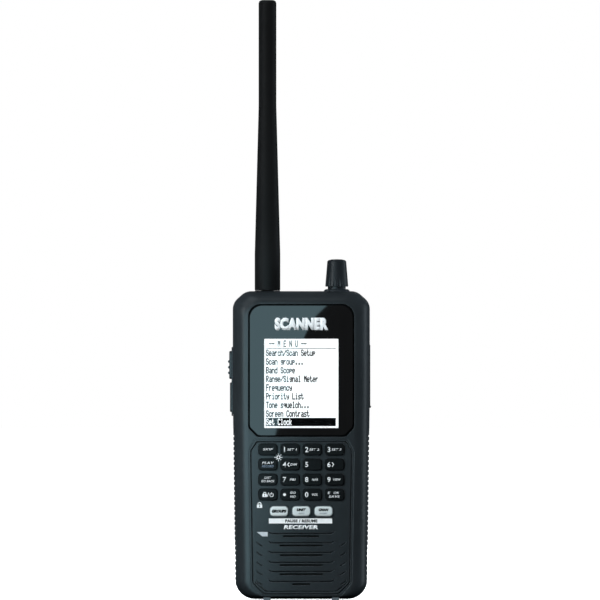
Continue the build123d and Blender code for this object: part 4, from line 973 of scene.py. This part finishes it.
def make_key_skirts():
    """Dark rubber skirt around the foot of each silver key."""
    for key in SOFT_LEGENDS:
        low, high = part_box(key)
        x, _, z = key_centre(key)
        width = high.x - low.x - 2 * KEY_FLANGE
        height = high.z - low.z - 2 * KEY_FLANGE
        outer = rounded_rectangle(
            x, z, width + SKIRT_GROW, height + SKIRT_GROW, SKIRT_OUTER_CORNER
        )
        inner = rounded_rectangle(
            x, z, width - SKIRT_SHRINK, height - SKIRT_SHRINK, SKIRT_INNER_CORNER
        )
        loops = [outer, inner[::-1]]
        skirt = plate(f"{key}_skirt", loops, SKIRT_FRONT, SKIRT_BACK, SKIRT_EDGE)
        finish_piece(skirt, "key_skirt", key)


# ---------------------------------------------------------------- stage
CAMERA_DISTANCE = 6.0
CAMERA_X = -0.63 * MM
CAMERA_LIFT = 0.07 * MM
FRAME_HEIGHT = 0.291
SENSOR = 36.0
FLOOR_HALF = 8
FLOOR_GLOW = 1.05
CARD_GAP = 0.085
CARD_GLOW = (1.4, 2.25, 2.55, 1.0)
# Outline of the card as the lens shows it, in millimetres; its right edge is the curve.
CARD_OUTLINE = (
    (-120, -5),
    (-120, 152),
    (16, 150),
    (12.3, 143),
    (7.6, 138.5),
    (4.9, 135),
    (1.5, 128),
    (-1.2, 121),
    (-4.3, 111),
    (-7.5, 99),
    (-12.2, 82),
    (-18, 55),
    (-26, -5),
)
# The world lights the object not at all from below the first slope and fully above the second.
WORLD_SLOPES = (-0.3, 0.2)
WORLD_STRENGTH = 0.1
WORLD_COLOUR = (0.8, 0.9, 1.0, 1.0)
MIDDLE = (0, 0, 0.11)
AERIAL = (0, 0, 0.22)
# Soft boxes: name, place, target, width, height, power in watts, colour, seen in reflections.
LIGHTS = (
    ("front_light", (-0.55, -1.3, 0.6), MIDDLE, 0.8, 0.8, 22.0, (0.97, 0.99, 1.0), False),
    ("fill_1", (-1.2, 0.0, 0.45), MIDDLE, 0.6, 0.8, 9.0, (0.8, 0.92, 1.0), False),
    ("fill_3", (1.2, 0.0, 0.45), MIDDLE, 0.6, 0.8, 14.0, (0.8, 0.92, 1.0), False),
    ("top_light", (-0.5, -0.5, 1.2), MIDDLE, 0.8, 0.8, 2.2, (0.82, 0.94, 1.0), True),
    ("side_light", (0.8, 0.2, 0.12), MIDDLE, 0.3, 0.7, 0.7, (0.78, 0.92, 1.0), True),
    ("left_strip", (-0.5, -0.45, 0.24), AERIAL, 0.1, 0.3, 0.5, (0.92, 0.98, 1.0), True),
    ("back_light", (0.3, 1.1, 0.7), MIDDLE, 0.7, 0.7, 34.0, (0.95, 0.98, 1.0), False),
)


def make_floor():
    """Pale floor, dimmer close to the feet and running into the white surroundings further out."""
    corners = [(x * FLOOR_HALF, y * FLOOR_HALF, 0) for x, y in ((-1, -1), (1, -1), (1, 1), (-1, 1))]
    floor = mesh_piece("floor", corners, [(0, 1, 2, 3)])
    material, tree, shader = new_material("floor_pale")
    vector = object_coordinates(tree)
    speckle = noise(tree, vector, 8.0)
    tree.links.new(ramp(tree, speckle, [(0.2, 0.84), (0.8, 0.88)]), shader.inputs["Base Color"])
    shader.inputs["Roughness"].default_value = 0.9
    distance = tree.nodes.new("ShaderNodeVectorMath")
    distance.operation = "LENGTH"
    tree.links.new(vector, distance.inputs[0])
    glow = ramp(tree, distance.outputs["Value"], [(0.03, 0.45), (0.30, 1.0)])
    tree.links.new(glow, shader.inputs["Emission Color"])
    shader.inputs["Emission Strength"].default_value = FLOOR_GLOW
    floor.data.materials.append(material)
    floor.visible_diffuse = False
    floor.visible_glossy = False


def make_reflecting_card():
    """Glowing card close to the left of the front, whose curved edge shows in the lens."""
    lens_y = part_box("display_lens")[0].y
    camera_place = bpy.context.scene.camera.location
    card_y = lens_y - CARD_GAP
    spread = 1 + CARD_GAP / (lens_y - camera_place.y)
    verts = []
    for x, z in CARD_OUTLINE:
        far_x = camera_place.x + (x * MM - camera_place.x) * spread
        far_z = camera_place.z + (z * MM - camera_place.z) * spread
        verts.append((far_x, card_y, far_z))
    card = mesh_piece("reflecting_card", verts, [tuple(range(len(verts)))])
    material = bpy.data.materials.new("card_glow")
    material.use_nodes = True
    tree = material.node_tree
    tree.nodes.clear()
    glow = tree.nodes.new("ShaderNodeEmission")
    glow.inputs["Strength"].default_value = 1.0
    glow.inputs["Color"].default_value = CARD_GLOW
    output = tree.nodes.new("ShaderNodeOutputMaterial")
    tree.links.new(glow.outputs["Emission"], output.inputs["Surface"])
    card.data.materials.append(material)
    card.visible_camera = False
    card.visible_diffuse = False
    card.visible_shadow = False


def area_light(name, place, target, width, height, power, colour, reflected):
    """Soft box aimed at a point."""
    light = bpy.data.lights.new(name, "AREA")
    light.shape = "RECTANGLE"
    light.size = width
    light.size_y = height
    light.energy = power
    light.color = colour
    lamp = bpy.data.objects.new(name, light)
    lamp.location = place
    aim = Vector(target) - Vector(place)
    lamp.rotation_euler = aim.to_track_quat("-Z", "Y").to_euler()
    lamp.visible_camera = False
    lamp.visible_glossy = reflected
    bpy.context.scene.collection.objects.link(lamp)


def make_world():
    """White for the camera, dim and soft for everything else, and dark from below."""
    world = bpy.data.worlds.new("surroundings")
    bpy.context.scene.world = world
    world.use_nodes = True
    tree = world.node_tree
    tree.nodes.clear()
    output = tree.nodes.new("ShaderNodeOutputWorld")
    seen = tree.nodes.new("ShaderNodeBackground")
    seen.inputs["Color"].default_value = (1.0, 1.0, 1.0, 1.0)
    dim = tree.nodes.new("ShaderNodeBackground")
    dim.inputs["Color"].default_value = WORLD_COLOUR
    direction = tree.nodes.new("ShaderNodeTexCoord")
    height = tree.nodes.new("ShaderNodeSeparateXYZ")
    tree.links.new(direction.outputs["Generated"], height.inputs[0])
    rising = tree.nodes.new("ShaderNodeMapRange")
    rising.inputs["From Min"].default_value = WORLD_SLOPES[0]
    rising.inputs["From Max"].default_value = WORLD_SLOPES[1]
    rising.inputs["To Min"].default_value = 0.0
    rising.inputs["To Max"].default_value = WORLD_STRENGTH
    tree.links.new(height.outputs["Z"], rising.inputs["Value"])
    tree.links.new(rising.outputs["Result"], dim.inputs["Strength"])
    path = tree.nodes.new("ShaderNodeLightPath")
    mix = tree.nodes.new("ShaderNodeMixShader")
    tree.links.new(path.outputs["Is Camera Ray"], mix.inputs["Fac"])
    tree.links.new(dim.outputs["Background"], mix.inputs[1])
    tree.links.new(seen.outputs["Background"], mix.inputs[2])
    tree.links.new(mix.outputs["Shader"], output.inputs["Surface"])


def make_camera():
    """Long lens, level with the middle of the object, straight in front."""
    data = bpy.data.cameras.new("camera")
    data.sensor_width = SENSOR
    data.lens = SENSOR * CAMERA_DISTANCE / FRAME_HEIGHT
    data.clip_end = 50
    camera = bpy.data.objects.new("camera", data)
    camera.location = (CAMERA_X, -CAMERA_DISTANCE, cad_high.z / 2 + CAMERA_LIFT)
    camera.rotation_euler = (pi / 2, 0, 0)
    bpy.context.scene.collection.objects.link(camera)
    bpy.context.scene.camera = camera


# ---------------------------------------------------------------- build
bpy.context.scene.view_settings.view_transform = "Standard"
make_camera()
make_world()
make_floor()
make_reflecting_card()
for box in LIGHTS:
    area_light(*box)
dress_cad_nodes()
make_lens()
make_screen()
make_key_legends()
make_power_symbols()
make_panel_print()
make_key_skirts()
